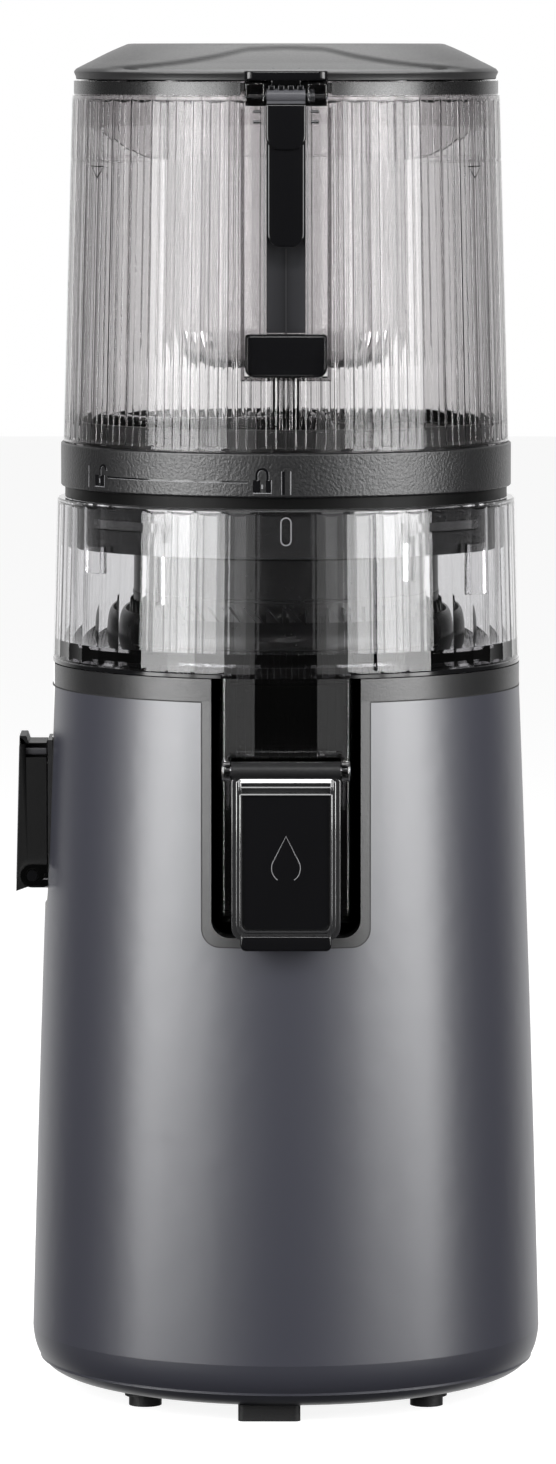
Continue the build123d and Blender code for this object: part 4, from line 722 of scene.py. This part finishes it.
def flute_skirt(bm):
    """Runs the flutes on down the front skirt and rounds the skirt's upright edges."""
    for vertex in bm.verts:
        x, y = vertex.co.x / MM, vertex.co.y / MM
        radius = sqrt(x * x + y * y)
        if radius < CHAMBER.right - 0.12 or abs(x) > SKIRT_HALF + 0.05 or y > 0:
            continue
        angle = degrees(asin(x / radius)) % 360
        depth = flute_cut(angle) if from_front(angle) < FRONT_HALF_ANGLE else 0
        into_edge = min(1, max(0, abs(x) - (SKIRT_HALF - SKIRT_ROUND)) / SKIRT_ROUND)
        depth += SKIRT_ROUND * (1 - sqrt(1 - into_edge ** 2))
        vertex.co.x *= (radius - depth) / radius
        vertex.co.y *= (radius - depth) / radius


def make_chamber_shadow_line():
    """A painted shadow: a black line under the chamber's wall where the gap above the trim lies in shade, left out
    behind the front skirt.
    """
    low = SEAT_Z + 0.05
    profile = ((79.98, low), (80.0, SEAT_Z + 1.2), (79.7, SEAT_Z + 1.5), (79.3, low))
    foot = turned("chamber_shadow_line", plain(profile))
    cut(foot, brick((-SKIRT_HALF, SKIRT_HALF), (-90, 0), (250, 256)))
    set_small(foot, "chamber")


# ----- hopper

HOPPER_TOP_Z = 449.6
CHANNEL_WALL = 1.2
LINE_DEPTH = 0.3
HINGE_Y, HINGE_Z = pivot_of("lid_hinge")[1:]
KNUCKLE_RADIUS = 3.2
EAR_ROOT_Y = 70.2


def make_hopper():
    """The clear hopper: flutes outside, ribs inside, a front channel and ears at the back."""
    shell = turned("hopper_wall", hopper_rings(), RIB_COLUMNS)
    cut_channel(shell)
    add_hinge_ears(shell)
    set_piece(shell, "hopper", "smoke_clear", ["hopper_shell"], FACET_SHARP)


def hopper_rings():
    """The hopper's outline: up the outside, over the rim and the bowl's ledge, and down the inside."""
    floor, fill_line, rib_low, rib_high, rim, top = HOPPER.low, 422.7, 333.0, 443.6, 444.5, HOPPER_TOP_Z
    low, high = (HOPPER.right, floor), (73.0, rim)
    outer = partial(on_slope, low, high)
    fluted = partial(outer, flute=1, groove=1)
    inner = partial(on_slope, low, high, inside=2.5)
    return [
        Ring(low[0] - 0.35, floor), outer(floor + 0.5), outer(floor + 1.3),
        fluted(floor + 1.35, shift=FLUTE_RUN_OUT), fluted(fill_line - 0.35),
        fluted(fill_line - 0.2, line=LINE_DEPTH), fluted(fill_line + 0.2, line=LINE_DEPTH),
        fluted(fill_line + 0.35), fluted(rim - 1.15, shift=-FLUTE_RUN_OUT), outer(rim - 1.1),
        Ring(high[0] - 0.1, rim), Ring(LID.right, rim + 0.2), Ring(LID.right, top - 0.3),
        Ring(LID.right - 0.3, top), Ring(FLANGE_RADIUS + 0.3, top), Ring(FLANGE_RADIUS + 0.3, LEDGE_Z),
        Ring(SKIRT_RADIUS + 0.3, LEDGE_Z), Ring(SKIRT_RADIUS + 0.3, rim), inner(rim),
        inner(rib_high), inner(rib_high - 0.3, rib=1), inner(rib_low + 0.9, rib=1),
        inner(rib_low + 0.4, rib=0.85), inner(rib_low + 0.1, rib=0.5), inner(rib_low), inner(floor),
    ]


def cut_channel(shell):
    """The channel down the front that the latch lies in, with its own thin walls."""
    half, back, low = BLOCK.right, BLOCK.back, BLOCK.low
    walls = brick((-half - CHANNEL_WALL, half + CHANNEL_WALL), (-71.75, back + CHANNEL_WALL),
                  (low - CHANNEL_WALL, BRACKET.low))
    join(shell, walls)
    cut(shell, brick((-half, half), (-90, back), (low, 470)))


def add_hinge_ears(shell):
    """The two ears at the back that hold the pin of the lid."""
    for side in (-1, 1):
        ear = sorted((side * 14.0, side * 20.0))
        join(shell, brick(ear, (EAR_ROOT_Y, HINGE_Y), (HINGE_Z - KNUCKLE_RADIUS, HOPPER_TOP_Z - 0.1)))
        join(shell, rod_x(ear, HINGE_Y, HINGE_Z, KNUCKLE_RADIUS))
    cut(shell, rod_x((-40, 40), HINGE_Y, HINGE_Z, 1.5))


# ----- feed bowl


def make_feed_bowl():
    """The clear bowl that hangs in the hopper, with its drain slots and the spokes of its flange."""
    bottom, flange = BOWL.low, BOWL.high
    radius, corner, wall, hole = 41.3, 15.0, 2.0, 8.0
    bend = (radius - corner, bottom + corner)
    profile = [(hole, bottom), *arc(bend, corner, -90, 0), (radius, flange), (radius - wall, flange),
               *arc(bend, corner - wall, 0, -90), (hole, bottom + wall)]
    bowl = turned("feed_bowl_clear", plain(profile))
    for side in (-1, 1):
        for angle in (40, 49, 58):
            slot = brick((-0.9, 0.9), (-44, -30), (bottom + 2.2, bottom + 12.7))
            turn(slot, side * angle)
            cut(bowl, slot)
    for angle in (50, 130, 230, 310):
        spoke = brick((-7, 7), (-64.4, -40), (LEDGE_Z, flange))
        turn(spoke, angle)
        join(bowl, spoke)
    set_piece(bowl, "hopper", "smoke_clear", ["feed_bowl"])


def make_bowl_ring():
    """The bowl's ring, with a skirt that is longest at the front and open for the channel."""
    skirt_low, rise, flange = 423.3, 10.2, BOWL.high
    skirt, skirt_inner, flange_inner = SKIRT_RADIUS, SKIRT_RADIUS - 1.6, 64.5
    rings = [Ring(skirt, skirt_low, rise=rise), Ring(skirt, LEDGE_Z), Ring(FLANGE_RADIUS, LEDGE_Z),
             Ring(FLANGE_RADIUS, flange), Ring(flange_inner, flange), Ring(flange_inner, LEDGE_Z),
             Ring(skirt_inner, LEDGE_Z), Ring(skirt_inner, skirt_low, rise=rise)]
    ring = turned("bowl_ring_clear", rings)
    opening = BLOCK.right + CHANNEL_WALL + 0.3
    cut(ring, brick((-opening, opening), (-90, 0), (400, 460)))
    for side in (-1, 1):
        join(ring, sector(66.0, 68.6, skirt_low + 0.2, LEDGE_Z - 0.2, middle=side * 35.8, span=0.9, steps=2))
    set_piece(ring, "hopper", "smoke_clear", ["bowl_ring"])


# ----- lid

LID_BASE_Z = 449.9
LID_EDGE_Z = 452.6
LID_FLAT = 54.0
LID_UNDER_Z = LID.high - 3.2
SLOPE_TOP_Z = LID.high - 0.15
SLOPE_STEPS = 20
SLOPE_BULGE = 0.5
RIM_BULGE = 0.42
# The way the slope faces, outwards and up.
FACING = (0.46, 0.89)
SCOOP_DEPTH = 0.7
# How far up the slope the crease of the front scoop runs, at angles from the front.
CREASE = ((0, 0.97), (13, 0.9), (22, 0.62), (32, 0.4), (45, 0.24), (56, 0.14), (66, 0.0), (180, -1))


def crease_share(angle):
    """How far up the slope the crease runs at an angle."""
    away = from_front(angle)
    for (a, low), (b, high) in zip(CREASE, CREASE[1:]):
        if away <= b:
            return low + (high - low) * (away - a) / (b - a)


def slope_point(share, angle):
    """A point (radius, z) of the lid's slope: share 0 is at the rim and 1 at the flat top."""
    proud = 4 * SLOPE_BULGE * share * (1 - share)
    proud += RIM_BULGE * min(1, share / 0.05) * max(0, 1 - share / 0.35)
    in_scoop = min(1, max(0, (crease_share(angle) - share) / 0.12)) * min(1, share / 0.1)
    proud -= SCOOP_DEPTH * in_scoop
    return (LID.right + (LID_FLAT - LID.right) * share + FACING[0] * proud,
            LID_EDGE_Z + (SLOPE_TOP_Z - LID_EDGE_Z) * share + FACING[1] * proud)


def make_lid_shell():
    """The lid: a convex slope with a shallow scoop across its front, a flat top and its hinge."""
    rim, centre, under_edge = LID.right, 0.5, LID.right - 2.5
    flat_top = [(centre, LID.high), (30, LID.high), (LID_FLAT - 1.2, LID.high)]
    underside = [(rim, LID_EDGE_Z - 0.4), (rim - 0.62, LID_BASE_Z + 0.95), (rim - 0.66, LID_BASE_Z + 0.25),
                 (rim - 1.0, LID_BASE_Z), (under_edge, LID_BASE_Z), (under_edge, LID_EDGE_Z),
                 (LID_FLAT, LID_UNDER_Z), (centre, LID_UNDER_Z)]

    def column(angle):
        slope = [slope_point(step / SLOPE_STEPS, angle) for step in range(SLOPE_STEPS, -1, -1)]
        return [round_point(angle, *point) for point in flat_top + slope + underside]

    lid = skin("lid_shell", list(zip(*map(column, range(360)))))
    tidy_normals(lid)
    add_lid_knuckle(lid)
    set_piece(lid, "lid", "smoke_lid", ["lid"], sharp=24)


def add_lid_knuckle(lid):
    """The part of the lid that turns on the hinge pin, between the hopper's ears."""
    across = (-13.6, 13.6)
    round_pin = (HINGE_Y - KNUCKLE_RADIUS, HINGE_Y + KNUCKLE_RADIUS)
    join(lid, brick(across, (EAR_ROOT_Y, HINGE_Y), (LID_BASE_Z, LID_EDGE_Z)))
    join(lid, brick(across, round_pin, (HINGE_Z, LID_EDGE_Z)))
    join(lid, rod_x(across, HINGE_Y, HINGE_Z, KNUCKLE_RADIUS))
    cut(lid, rod_x((-13.7, 13.7), HINGE_Y, HINGE_Z, 1.55))


def make_lid_catch():
    """The black lip at the front of the lid and the tongue behind it that the latch holds."""
    catch = slab("lid_catch", plan_outline(14, LID.front, -70.4, 3.0), LID_BASE_Z, 453.2, 0.7)
    set_small(catch, "lid", replaced=["lid"])
    tongue = brick((-5, 5), (-69.2, -67.0), (445.6, 454.1), "lid_tongue")
    soften(tongue, 0.5)
    set_small(tongue, "lid", replaced=["lid"])


# ----- marks on the collar and the clear walls

MARK_DEPTH = 0.3
MARK_PROUD = 0.05
COLLAR_MARK_Z = 316.6


def wrapped(point, wall, reach, angle, z):
    """Puts an (across, up) point onto a round wall, at its reach from the centre line."""
    return round_point(angle + degrees(point[0] / wall), reach, z + point[1])


def line_on_wall(name, points, width, wall, angle, z, depth=MARK_DEPTH, closed=False):
    """A thin raised line along (across, up) points, wrapped round a wall."""
    def place(point, reach):
        return wrapped(point, wall, reach, angle, z)

    return ribbon(name, stroke(points, width, closed), place, wall - depth, wall + MARK_PROUD, closed)


def collar_line(name, points, width, finish, angle, rise=0, lift=0):
    """A line on the collar, raised up it or lifted off it a little."""
    line = line_on_wall(name, points, width, COLLAR.right + lift, angle, COLLAR_MARK_Z + rise)
    set_small(line, "hopper", finish)


def padlock(name, angle, size, open_shackle):
    """A generic padlock sign: a dark body, a keyhole and its shackle, with painted highlights in light grey along
    the body's lower and right edges and under the shackle.
    """
    half, low, high = 0.5 * size, -0.55 * size, 0.15 * size
    body = [(-half, low), (half, low), (half, high), (-half, high)]
    swing = 0.35 * size if open_shackle else 0
    shackle = [(-0.3 * size + swing, high)] + arc((swing, 0.45 * size), 0.3 * size, 180, 0)
    if not open_shackle:
        shackle.append((0.3 * size, high))
    glint = [(across + 0.3, up - 0.15) for across, up in shackle]
    keyhole = [(0, -0.32 * size), (0, -0.08 * size)]
    reaches = (COLLAR.right - MARK_DEPTH, COLLAR.right + 0.04)
    block = skin(name + "_body", [[wrapped(point, COLLAR.right, reach, angle, COLLAR_MARK_Z)
                                   for point in body] for reach in reaches])
    set_small(block, "hopper")
    # glint and edge are painted highlights: light grey lines where the mark's edges catch the light.
    lines = (("glint", glint, 0.5, "mark_grey", 0.0), ("shackle", shackle, 0.75, "black_gloss", 0.05),
             ("edge", body[:3], 0.3, "mark_grey", 0.03), ("keyhole", keyhole, 0.6, "mark_grey", 0.05))
    for part, points, width, finish, lift in lines:
        collar_line(f"{name}_{part}", points, width, finish, angle, lift=lift)


def make_collar_marks():
    """The two lock marks with the way between them, and the lining-up mark at the front; the light grey lines
    along the way and beside the lining-up mark are painted highlights.
    """
    padlock("lock_open", -54.4, 5.6, True)
    padlock("lock_shut", -5.9, 6.2, False)
    collar_line("lock_open_bar", [(0, -3.6), (0, 3.6)], 0.45, "mark_grey", -59.6)
    route = [(across, 0) for across in range(-28, 29)]
    collar_line("lock_way", route, 0.5, "black_gloss", -30.3, rise=0.3)
    collar_line("lock_way_glint", route, 0.14, "mark_grey", -30.3, rise=-0.05)
    # The two light grey bars beside the black one are painted highlights on the edges of the mark.
    bars = ((-1.1, 0.9, "black_gloss"), (-1.75, 0.2, "mark_grey"), (1.3, 0.4, "mark_grey"))
    for across, width, finish in bars:
        angle = 0.2 + degrees(across / COLLAR.right)
        collar_line("collar_mark", [(0, -3.9), (0, 3.9)], width, finish, angle)


def make_wall_marks():
    """The upright capsule under the collar's mark, and the triangles under the hopper's fill line."""
    top = arc((0, 2.9), 1.7, 0, 180, 8)
    capsule = top + [(-x, -y) for x, y in top]
    mark = line_on_wall("chamber_mark", capsule, 0.45, 78.7, 0, 300.5, closed=True)
    set_small(mark, "chamber", "mark_grey")
    triangle = [(-4.2, 1.9), (4.2, 1.9), (0, -1.9)]
    for word, angle in (("left", -60), ("right", 60)):
        mark = line_on_wall("fill_mark_" + word, triangle, 0.5, 73.4, angle, 419.0, depth=0.4, closed=True)
        set_small(mark, "hopper", "dark_screw")


# ----- outer screw


def make_screw_basket():
    """The ribbed strainer basket with its bulging shoulder, neck and inner tube."""
    low, high, floor, tube_high = SCREW.low + 0.1, SCREW.high, 177.0, 186.0
    basket, neck, neck_inner, tube, bore = 54.0, 51.0, 48.3, 24.0, 21.5
    foot = [(bore, low), (basket - 0.5, low), (basket, floor)]
    ribbed = [Ring(basket, floor + 0.5, rib=-1), Ring(55.8, 258.0, rib=-1)]
    shoulder = [(55.9, 258.4), (57.3, 259.0), (57.4, 260.5), (56.4, 263.6), (54.2, 266.6), (51.8, 269.6)]
    outside = [(neck, 272.0), (neck, 274.6), (neck + 0.7, 274.8), (neck + 0.7, 275.6), (neck, 275.8),
               (neck, high - 0.5), (neck - 0.5, high)]
    inside = [(neck_inner, high), (neck_inner, 268.0), (51.0, 262.0), (50.0, floor), (tube, floor),
              (tube, tube_high), (bore, tube_high)]
    rings = plain(foot) + ribbed + plain(shoulder + outside + inside)
    basket_piece = turned("screw_basket", rings, RIB_COLUMNS)
    set_piece(basket_piece, "screws", "dark_screw", ["outer_screw"], sharp=30)


def make_screw_teeth(count=48, fill=0.8):
    """The ring of wedge teeth round the foot of the neck, as one piece."""
    inner, foot, crest, low, high = 50.6, 54.4, 53.6, 268.2, 273.0
    corners, faces = [], []
    for tooth in range(count):
        start, end = tooth * 360 / count, (tooth + fill) * 360 / count
        wedge = ((start, inner, low), (end, inner, low), (end, foot, low), (start, foot, low),
                 (start, inner, high), (start, crest, high))
        sides = ((0, 1, 2, 3), (0, 3, 5, 4), (3, 2, 5), (4, 5, 2, 1), (0, 4, 1))
        faces += [tuple(len(corners) + corner for corner in side) for side in sides]
        corners += [round_point(*corner) for corner in wedge]
    set_piece(mesh_piece("screw_teeth", corners, faces), "screws", "dark_screw", sharp=20)


def make_wipers():
    """The two curved wipers at the sides of the basket's shoulder."""
    curve = [(57.6 + 4.6 * cos(radians(a)), 262.5 + 7.4 * sin(radians(a))) for a in range(-64, 81, 12)]
    rings = plain(curve + [(radius - 1.3, z - 0.2) for radius, z in curve[::-1]])
    for word, x in (("left", (-90, 0)), ("right", (0, 90))):
        wiper = turned("wiper_" + word, rings)
        cut(wiper, brick((-90, 90), (-90, 90), (200, 256)))
        tidy_normals(wiper)
        boolean(wiper, brick(x, (-34, 34), (240, 290)), "INTERSECT")
        set_piece(wiper, "screws", "dark_screw", sharp=30)


# ----- latch

LATCH_Y, LATCH_Z = pivot_of("latch_press")[1:]
LATCH_BACK = -70.0
CHANNEL_LOW = BLOCK.high + 0.1
CHANNEL_HIGH = BRACKET.low + 0.2


def set_latch(piece, finish="black_gloss"):
    set_small(piece, "latch", finish, ["latch_lever"])


def make_latch_lever():
    """The strip with its rounded end, the thicker thumb plate and the barrel round the pin."""
    strip = plate("latch_strip", rounded(6.1, LATCH.low, 429.0, 4.0, 0.3), LATCH.front, LATCH_BACK, 0.6)
    set_latch(strip)
    set_latch(plate("latch_pad", rounded(6.7, 426.9, 442.3, 4.4, 0.4), -74.2, LATCH_BACK, 0.8))
    barrel = rod_x((LATCH.left, LATCH.right), LATCH_Y, LATCH_Z, 2.3, "latch_barrel")
    join(barrel, brick((LATCH.left, LATCH.right), (-72.6, -70.2), (442.0, LATCH_Z)))
    cut(barrel, rod_x((-7, 7), LATCH_Y, LATCH_Z, 1.25))
    set_latch(barrel, "strip_grey")


def make_latch_teeth(count=4, step=3.2):
    """The row of small teeth on the barrel."""
    for k in range(count):
        tooth = slab("latch_tooth", plan_outline(1.1, -73.0, -70.6, 0.4), 446.6, 448.4, 0.3)
        shift(tooth, (k - (count - 1) / 2) * step)
        set_latch(tooth)


def make_latch_bracket():
    """The clear ends of the bracket, their bright pin feet, the light grey rails under them that paint the
    highlights of the channel's lips, and its back.
    """
    for side in (-1, 1):
        outline = rounded(3.3, BRACKET.low + 0.4, BRACKET.high, 2.6, 0.6)
        end = plate("latch_bracket_end", outline, BRACKET.front, BRACKET.back - 0.2, 0.7)
        shift(end, side * 10.4)
        set_small(end, "hopper", "smoke_clear", ["latch_bracket"])
        # The rails are light grey lines: painted highlights along the lips of the channel.
        outline = plan_outline(0.22, -72.8, BLOCK.back - 0.2, 0.15)
        highlight_rail = slab("latch_rail_painted_highlight", outline, CHANNEL_LOW, CHANNEL_HIGH, 0.1)
        shift(highlight_rail, side * 7.2)
        set_piece(highlight_rail, "hopper", "smoke_clear", sharp=30, finish="mark_grey")
        for z in (436.2, 439.7):
            foot = rod_x(sorted((side * 8.2, side * 10.9)), -71.8, z, 0.5, "latch_bracket_foot", sides=16)
            set_small(foot, "hopper", "polished_edge")
    back = brick((-13.6, 13.6), (-66.2, -64.6), (441.4, 449.2), "latch_bracket_back")
    set_small(back, "hopper", replaced=["latch_bracket"])


def make_channel_lining():
    """The grey strip on the back of the channel with a painted highlight line down its middle, and the block at
    its foot.
    """
    outline = rounded(6.5, CHANNEL_LOW + 0.1, CHANNEL_HIGH, 0.5, 0.5)
    set_small(plate("channel_strip", outline, -62.6, BLOCK.back - 0.1, 0.3), "hopper", "strip_grey")
    # A thin light grey line: a painted highlight down the middle of the channel's back.
    line = brick((-0.14, 0.14), (-62.8, -62.5), (CHANNEL_LOW + 0.4, 394.0), "channel_painted_highlight")
    set_small(line, "hopper", "mark_grey")
    outline = rounded(BLOCK.right - 0.1, BLOCK.low + 0.1, BLOCK.high, 3.0, 1.2)
    block = plate("latch_block_cap", outline, -72.0, BLOCK.back - 0.1, 1.0)
    set_small(block, "hopper", replaced=["latch_block"])


# ----- juice cap

CAP_Y, CAP_Z = pivot_of("juice_cap_hinge")[1:]
FRAME_LOW = 164.9
FRAME_HIGH = 219.0
RAISED_Y = -92.6
# Each terrace of the frame's stepped edge: the middle of its rounding across, its front, and its radius.
TERRACES = ((17.8, -90.0, 0.3), (16.2, -91.1, 0.5), (14.95, -91.6, 0.65))


def make_cap_frame():
    """The cap's frame, which steps forward in rounded terraces towards the panel."""
    steps = [(CAP.right, -84.6)]
    for middle, front, radius in TERRACES:
        steps.append((middle + radius, steps[-1][1]))
        steps += arc((middle, front), radius, 0, -90, 9)
    steps += [(14.75, -92.25), (14.65, -92.1), (14.65, -90.6)]
    rings = []
    for half, y in steps:
        inset = CAP.right - half
        corner = max(1.2, 4.2 - 0.6 * inset)
        outline = rounded(half, FRAME_LOW + inset, FRAME_HIGH - 0.25 * inset, corner, 0.9)
        rings.append([upright(point, y) for point in outline])
    set_small(skin("cap_frame", rings), "cap", "polished_edge", ["juice_cap"])


def make_cap_barrel():
    """The barrel round the cap's pin, and the web that joins it to the frame."""
    barrel = rod_x((CAP.left, CAP.right), CAP_Y, CAP_Z, 3.2, "cap_barrel")
    join(barrel, brick((-16.5, 16.5), (-90.6, -86.0), (217.6, 221.0)))
    cut(barrel, rod_x((-19, 19), CAP_Y, CAP_Z, 1.55))
    set_small(barrel, "cap", "black_satin", ["juice_cap"])


def make_cap_plates():
    """The lip under the frame and the panel in it."""
    lip = plate("cap_lip", rounded(15.2, CAP.low, 167.0, 2.0, 0.6), RAISED_Y, -88.6, 0.9)
    set_small(lip, "cap", replaced=["juice_cap"])
    outline = rounded(PANEL.right, PANEL.low + 0.1, PANEL.high + 0.4, 2.8, 0.5)
    panel = plate("cap_face", outline, -91.6, -90.5, 0.25)
    set_small(panel, "cap", replaced=["cap_panel"])


def make_cap_bars(half=15.3, behind=-91.6):
    """The bars across the top of the frame and the posts at their ends."""
    for z, tall, finish in ((218.0, 1.2, "polished_edge"), (216.3, 0.4, None), (213.9, 0.4, None)):
        section = ((behind, z), (RAISED_Y, z), (RAISED_Y + 0.42 * tall, z + tall), (behind, z + tall))
        bar = skin("cap_bar", [[(x, *point) for point in section] for x in (-half, half)])
        set_piece(bar, "cap", "black_gloss", sharp=20, finish=finish)
    for side in (-1, 1):
        post = slab("cap_post", plan_outline(0.6, RAISED_Y, -91.4, 0.55), 214.0, FRAME_HIGH, 0.3)
        shift(post, side * half)
        set_piece(post, "cap", "black_gloss", sharp=50, finish="polished_edge")


def make_cap_drop(bottom=184.6, radius=4.8, apex=200.0):
    """The plain outline of a drop on the panel, open at its foot."""
    middle = (0, bottom + radius)
    tangent = degrees(asin(radius / (apex - bottom - radius)))
    left = arc(middle, radius, -125, -180 - tangent, 12)
    sides = stroke(left + [(0, apex)] + mirrored(left), 0.28)
    set_small(ribbon("cap_drop", sides, upright, -91.72, -91.5), "cap", "mark_grey")


def make_cap_hood():
    """The clear hood of the chamber over the cap's barrel."""
    outer = [(19.9, 208.4)] + arc((16.9, 224.1), 3.0, 0, 90, 8)
    inner = [(18.9, 208.4)] + arc((16.4, 223.7), 2.5, 0, 90, 8)
    hood = ribbon("cap_hood", (outer + mirrored(outer), inner + mirrored(inner)), upright, -87.2, -78.6)
    set_piece(hood, "chamber", "smoke_clear", sharp=30, finish="chamber_clear")


# ----- pulp lever


def set_lever(piece, finish, replaced=()):
    set_piece(piece, "pulp_gate", "black_satin", replaced, 30, finish)


def make_pulp_lever():
    """The lever with finger recesses at its top, its bevelled tip and the line on its edge."""
    lever = cad_part("pulp_lever", "pulp_lever_skin")
    for side in (-1, 1):
        cut(lever, brick((-89.2, -81.9), sorted((side * 6.2, side * 10.6)), (218.4, 223.0)))
    set_lever(lever, "lever_satin", ["pulp_lever"])
    tip = ((-91.3, GATE.high), (-89.0, GATE.high), (-88.1, 223.3), (-90.7, 222.8))
    set_lever(prism("lever_tip", tip, (GATE.front, GATE.back)), "lever_satin")
    edge = ((-92.55, 176.5), (-92.2, 176.5), (-91.1, 222.5), (-91.45, 222.5))
    set_lever(prism("lever_edge", edge, (GATE.front - 0.05, -9.6)), "mark_dark")


def make_lever_details():
    """The bars across the finger recesses and the rings round the ends of the pin."""
    pin_x, _, pin_z = pivot_of("pulp_lever_hinge")
    circle = arc((pin_x, pin_z), 2.3, 0, 360, 32)[:-1]
    inner_circle = arc((pin_x, pin_z), 1.95, 0, 360, 32)[:-1]
    for side in (-1, 1):
        outline = [(x, side * y) for x, y in ((-89.2, 6.2), (-82.2, 6.2), (-82.2, 8.8), (-89.2, 8.8))]
        set_lever(slab("lever_bar", outline, 219.2, 221.6, 0.5), "mark_dark")
        ring = ribbon("lever_ring", (circle, inner_circle), upright, side * 9.9, side * 10.15, closed=True)
        set_small(ring, "pulp_gate", "mark_grey")


# ----- trim line and rim band

BODY_TAPER = 7.4
BODY_SWELL = 0.35


def on_body(point, proud):
    """Puts an (x, z) point onto the front of the swelling wall of the body."""
    x, z = point
    share = (z - BODY.low) / (BODY.high - BODY.low)
    radius = BODY.right - BODY_TAPER * share + 4 * BODY_SWELL * share * (1 - share)
    return (x, -sqrt((radius + proud) ** 2 - x * x), z)


def make_trim_line(half=28.2, low=161.5, corner=6.0, width=0.4):
    """The fine dark joint between the slate wall and its black trim."""
    top = BODY.high
    left = [(-half, top - width), (-half, low + 40), *arc((-half + corner, low + corner), corner, 180, 270)]
    points = left + [(x, low) for x in range(-20, 21, 2)] + mirrored(left)
    line = ribbon("trim_line", stroke(points, width), on_body, -0.3, 0.04)
    set_piece(line, "base", "black_rubber", sharp=60)
    profile = ((80.15, top - 0.45), (80.15, top), (79.8, top), (79.8, top - 0.45))
    ring = turned("trim_ring_line", plain(profile))
    cut(ring, brick((-half, half), (-90, 0), (200, 260)))
    set_piece(ring, "base", "black_rubber", sharp=60)


def make_rim_band(count=360, opening=12.2, notch=0.06, edge=0.4):
    """The dark band round the hopper's top, with fine upright marks and open at the front."""
    low, high, outer, inner = 445.0, 449.4, LID.right + 0.06, LID.right - 0.3
    rings = []
    for k in range(count + 1):
        middle = outer - (notch if k % 2 else 0)
        section = ((outer, low), (middle, low + edge), (middle, high - edge), (outer, high), (inner, high),
                   (inner, low))
        angle = opening + k * (360 - 2 * opening) / count
        rings.append([round_point(angle, radius, z) for radius, z in section])
    set_piece(skin("rim_band", rings), "hopper", "smoke_clear", sharp=12, finish="rim_smoke")


# ----- the scene

# The finish of CAD nodes that don't have the plain one of their slot.
FINISH_OF = {
    "bayonet_ring": "black_gloss",
    "inner_screw": "black_gloss",
    "cutting_wing": "black_gloss",
    "latch_pin": "black_gloss",
    "pulp_lever_pin": "black_gloss",
    "latch_spring": "mark_dark",
    "hopper_collar": "collar_satin",
    # the gasket gets a painted shade, as it lies in the shadowed gap under the collar
    "hopper_gasket": "seal_painted_shade",
    "well_liner": "trim_satin",
}
MATERIALS = make_materials()
for node, cad in NODES.items():
    cad.data.materials.clear()
    cad.data.materials.append(MATERIALS[FINISH_OF.get(node, SLOT_OF[node])])

make_chamber_wall()
make_chamber_bowl()
make_chamber_shadow_line()
make_hopper()
make_feed_bowl()
make_bowl_ring()
make_lid_shell()
make_lid_catch()
make_collar_marks()
make_wall_marks()
make_screw_basket()
make_screw_teeth()
make_wipers()
make_latch_lever()
make_latch_teeth()
make_latch_bracket()
make_channel_lining()
make_cap_frame()
make_cap_barrel()
make_cap_plates()
make_cap_bars()
make_cap_drop()
make_cap_hood()
make_pulp_lever()
make_lever_details()
make_rim_band()
make_trim_line()

make_camera()
make_world()
make_floor()
make_key_lights()
make_other_lights()
scene = bpy.context.scene
scene.view_settings.view_transform = "Standard"
scene.cycles.use_denoising = True
scene.cycles.max_bounces = 24
scene.cycles.transmission_bounces = 24
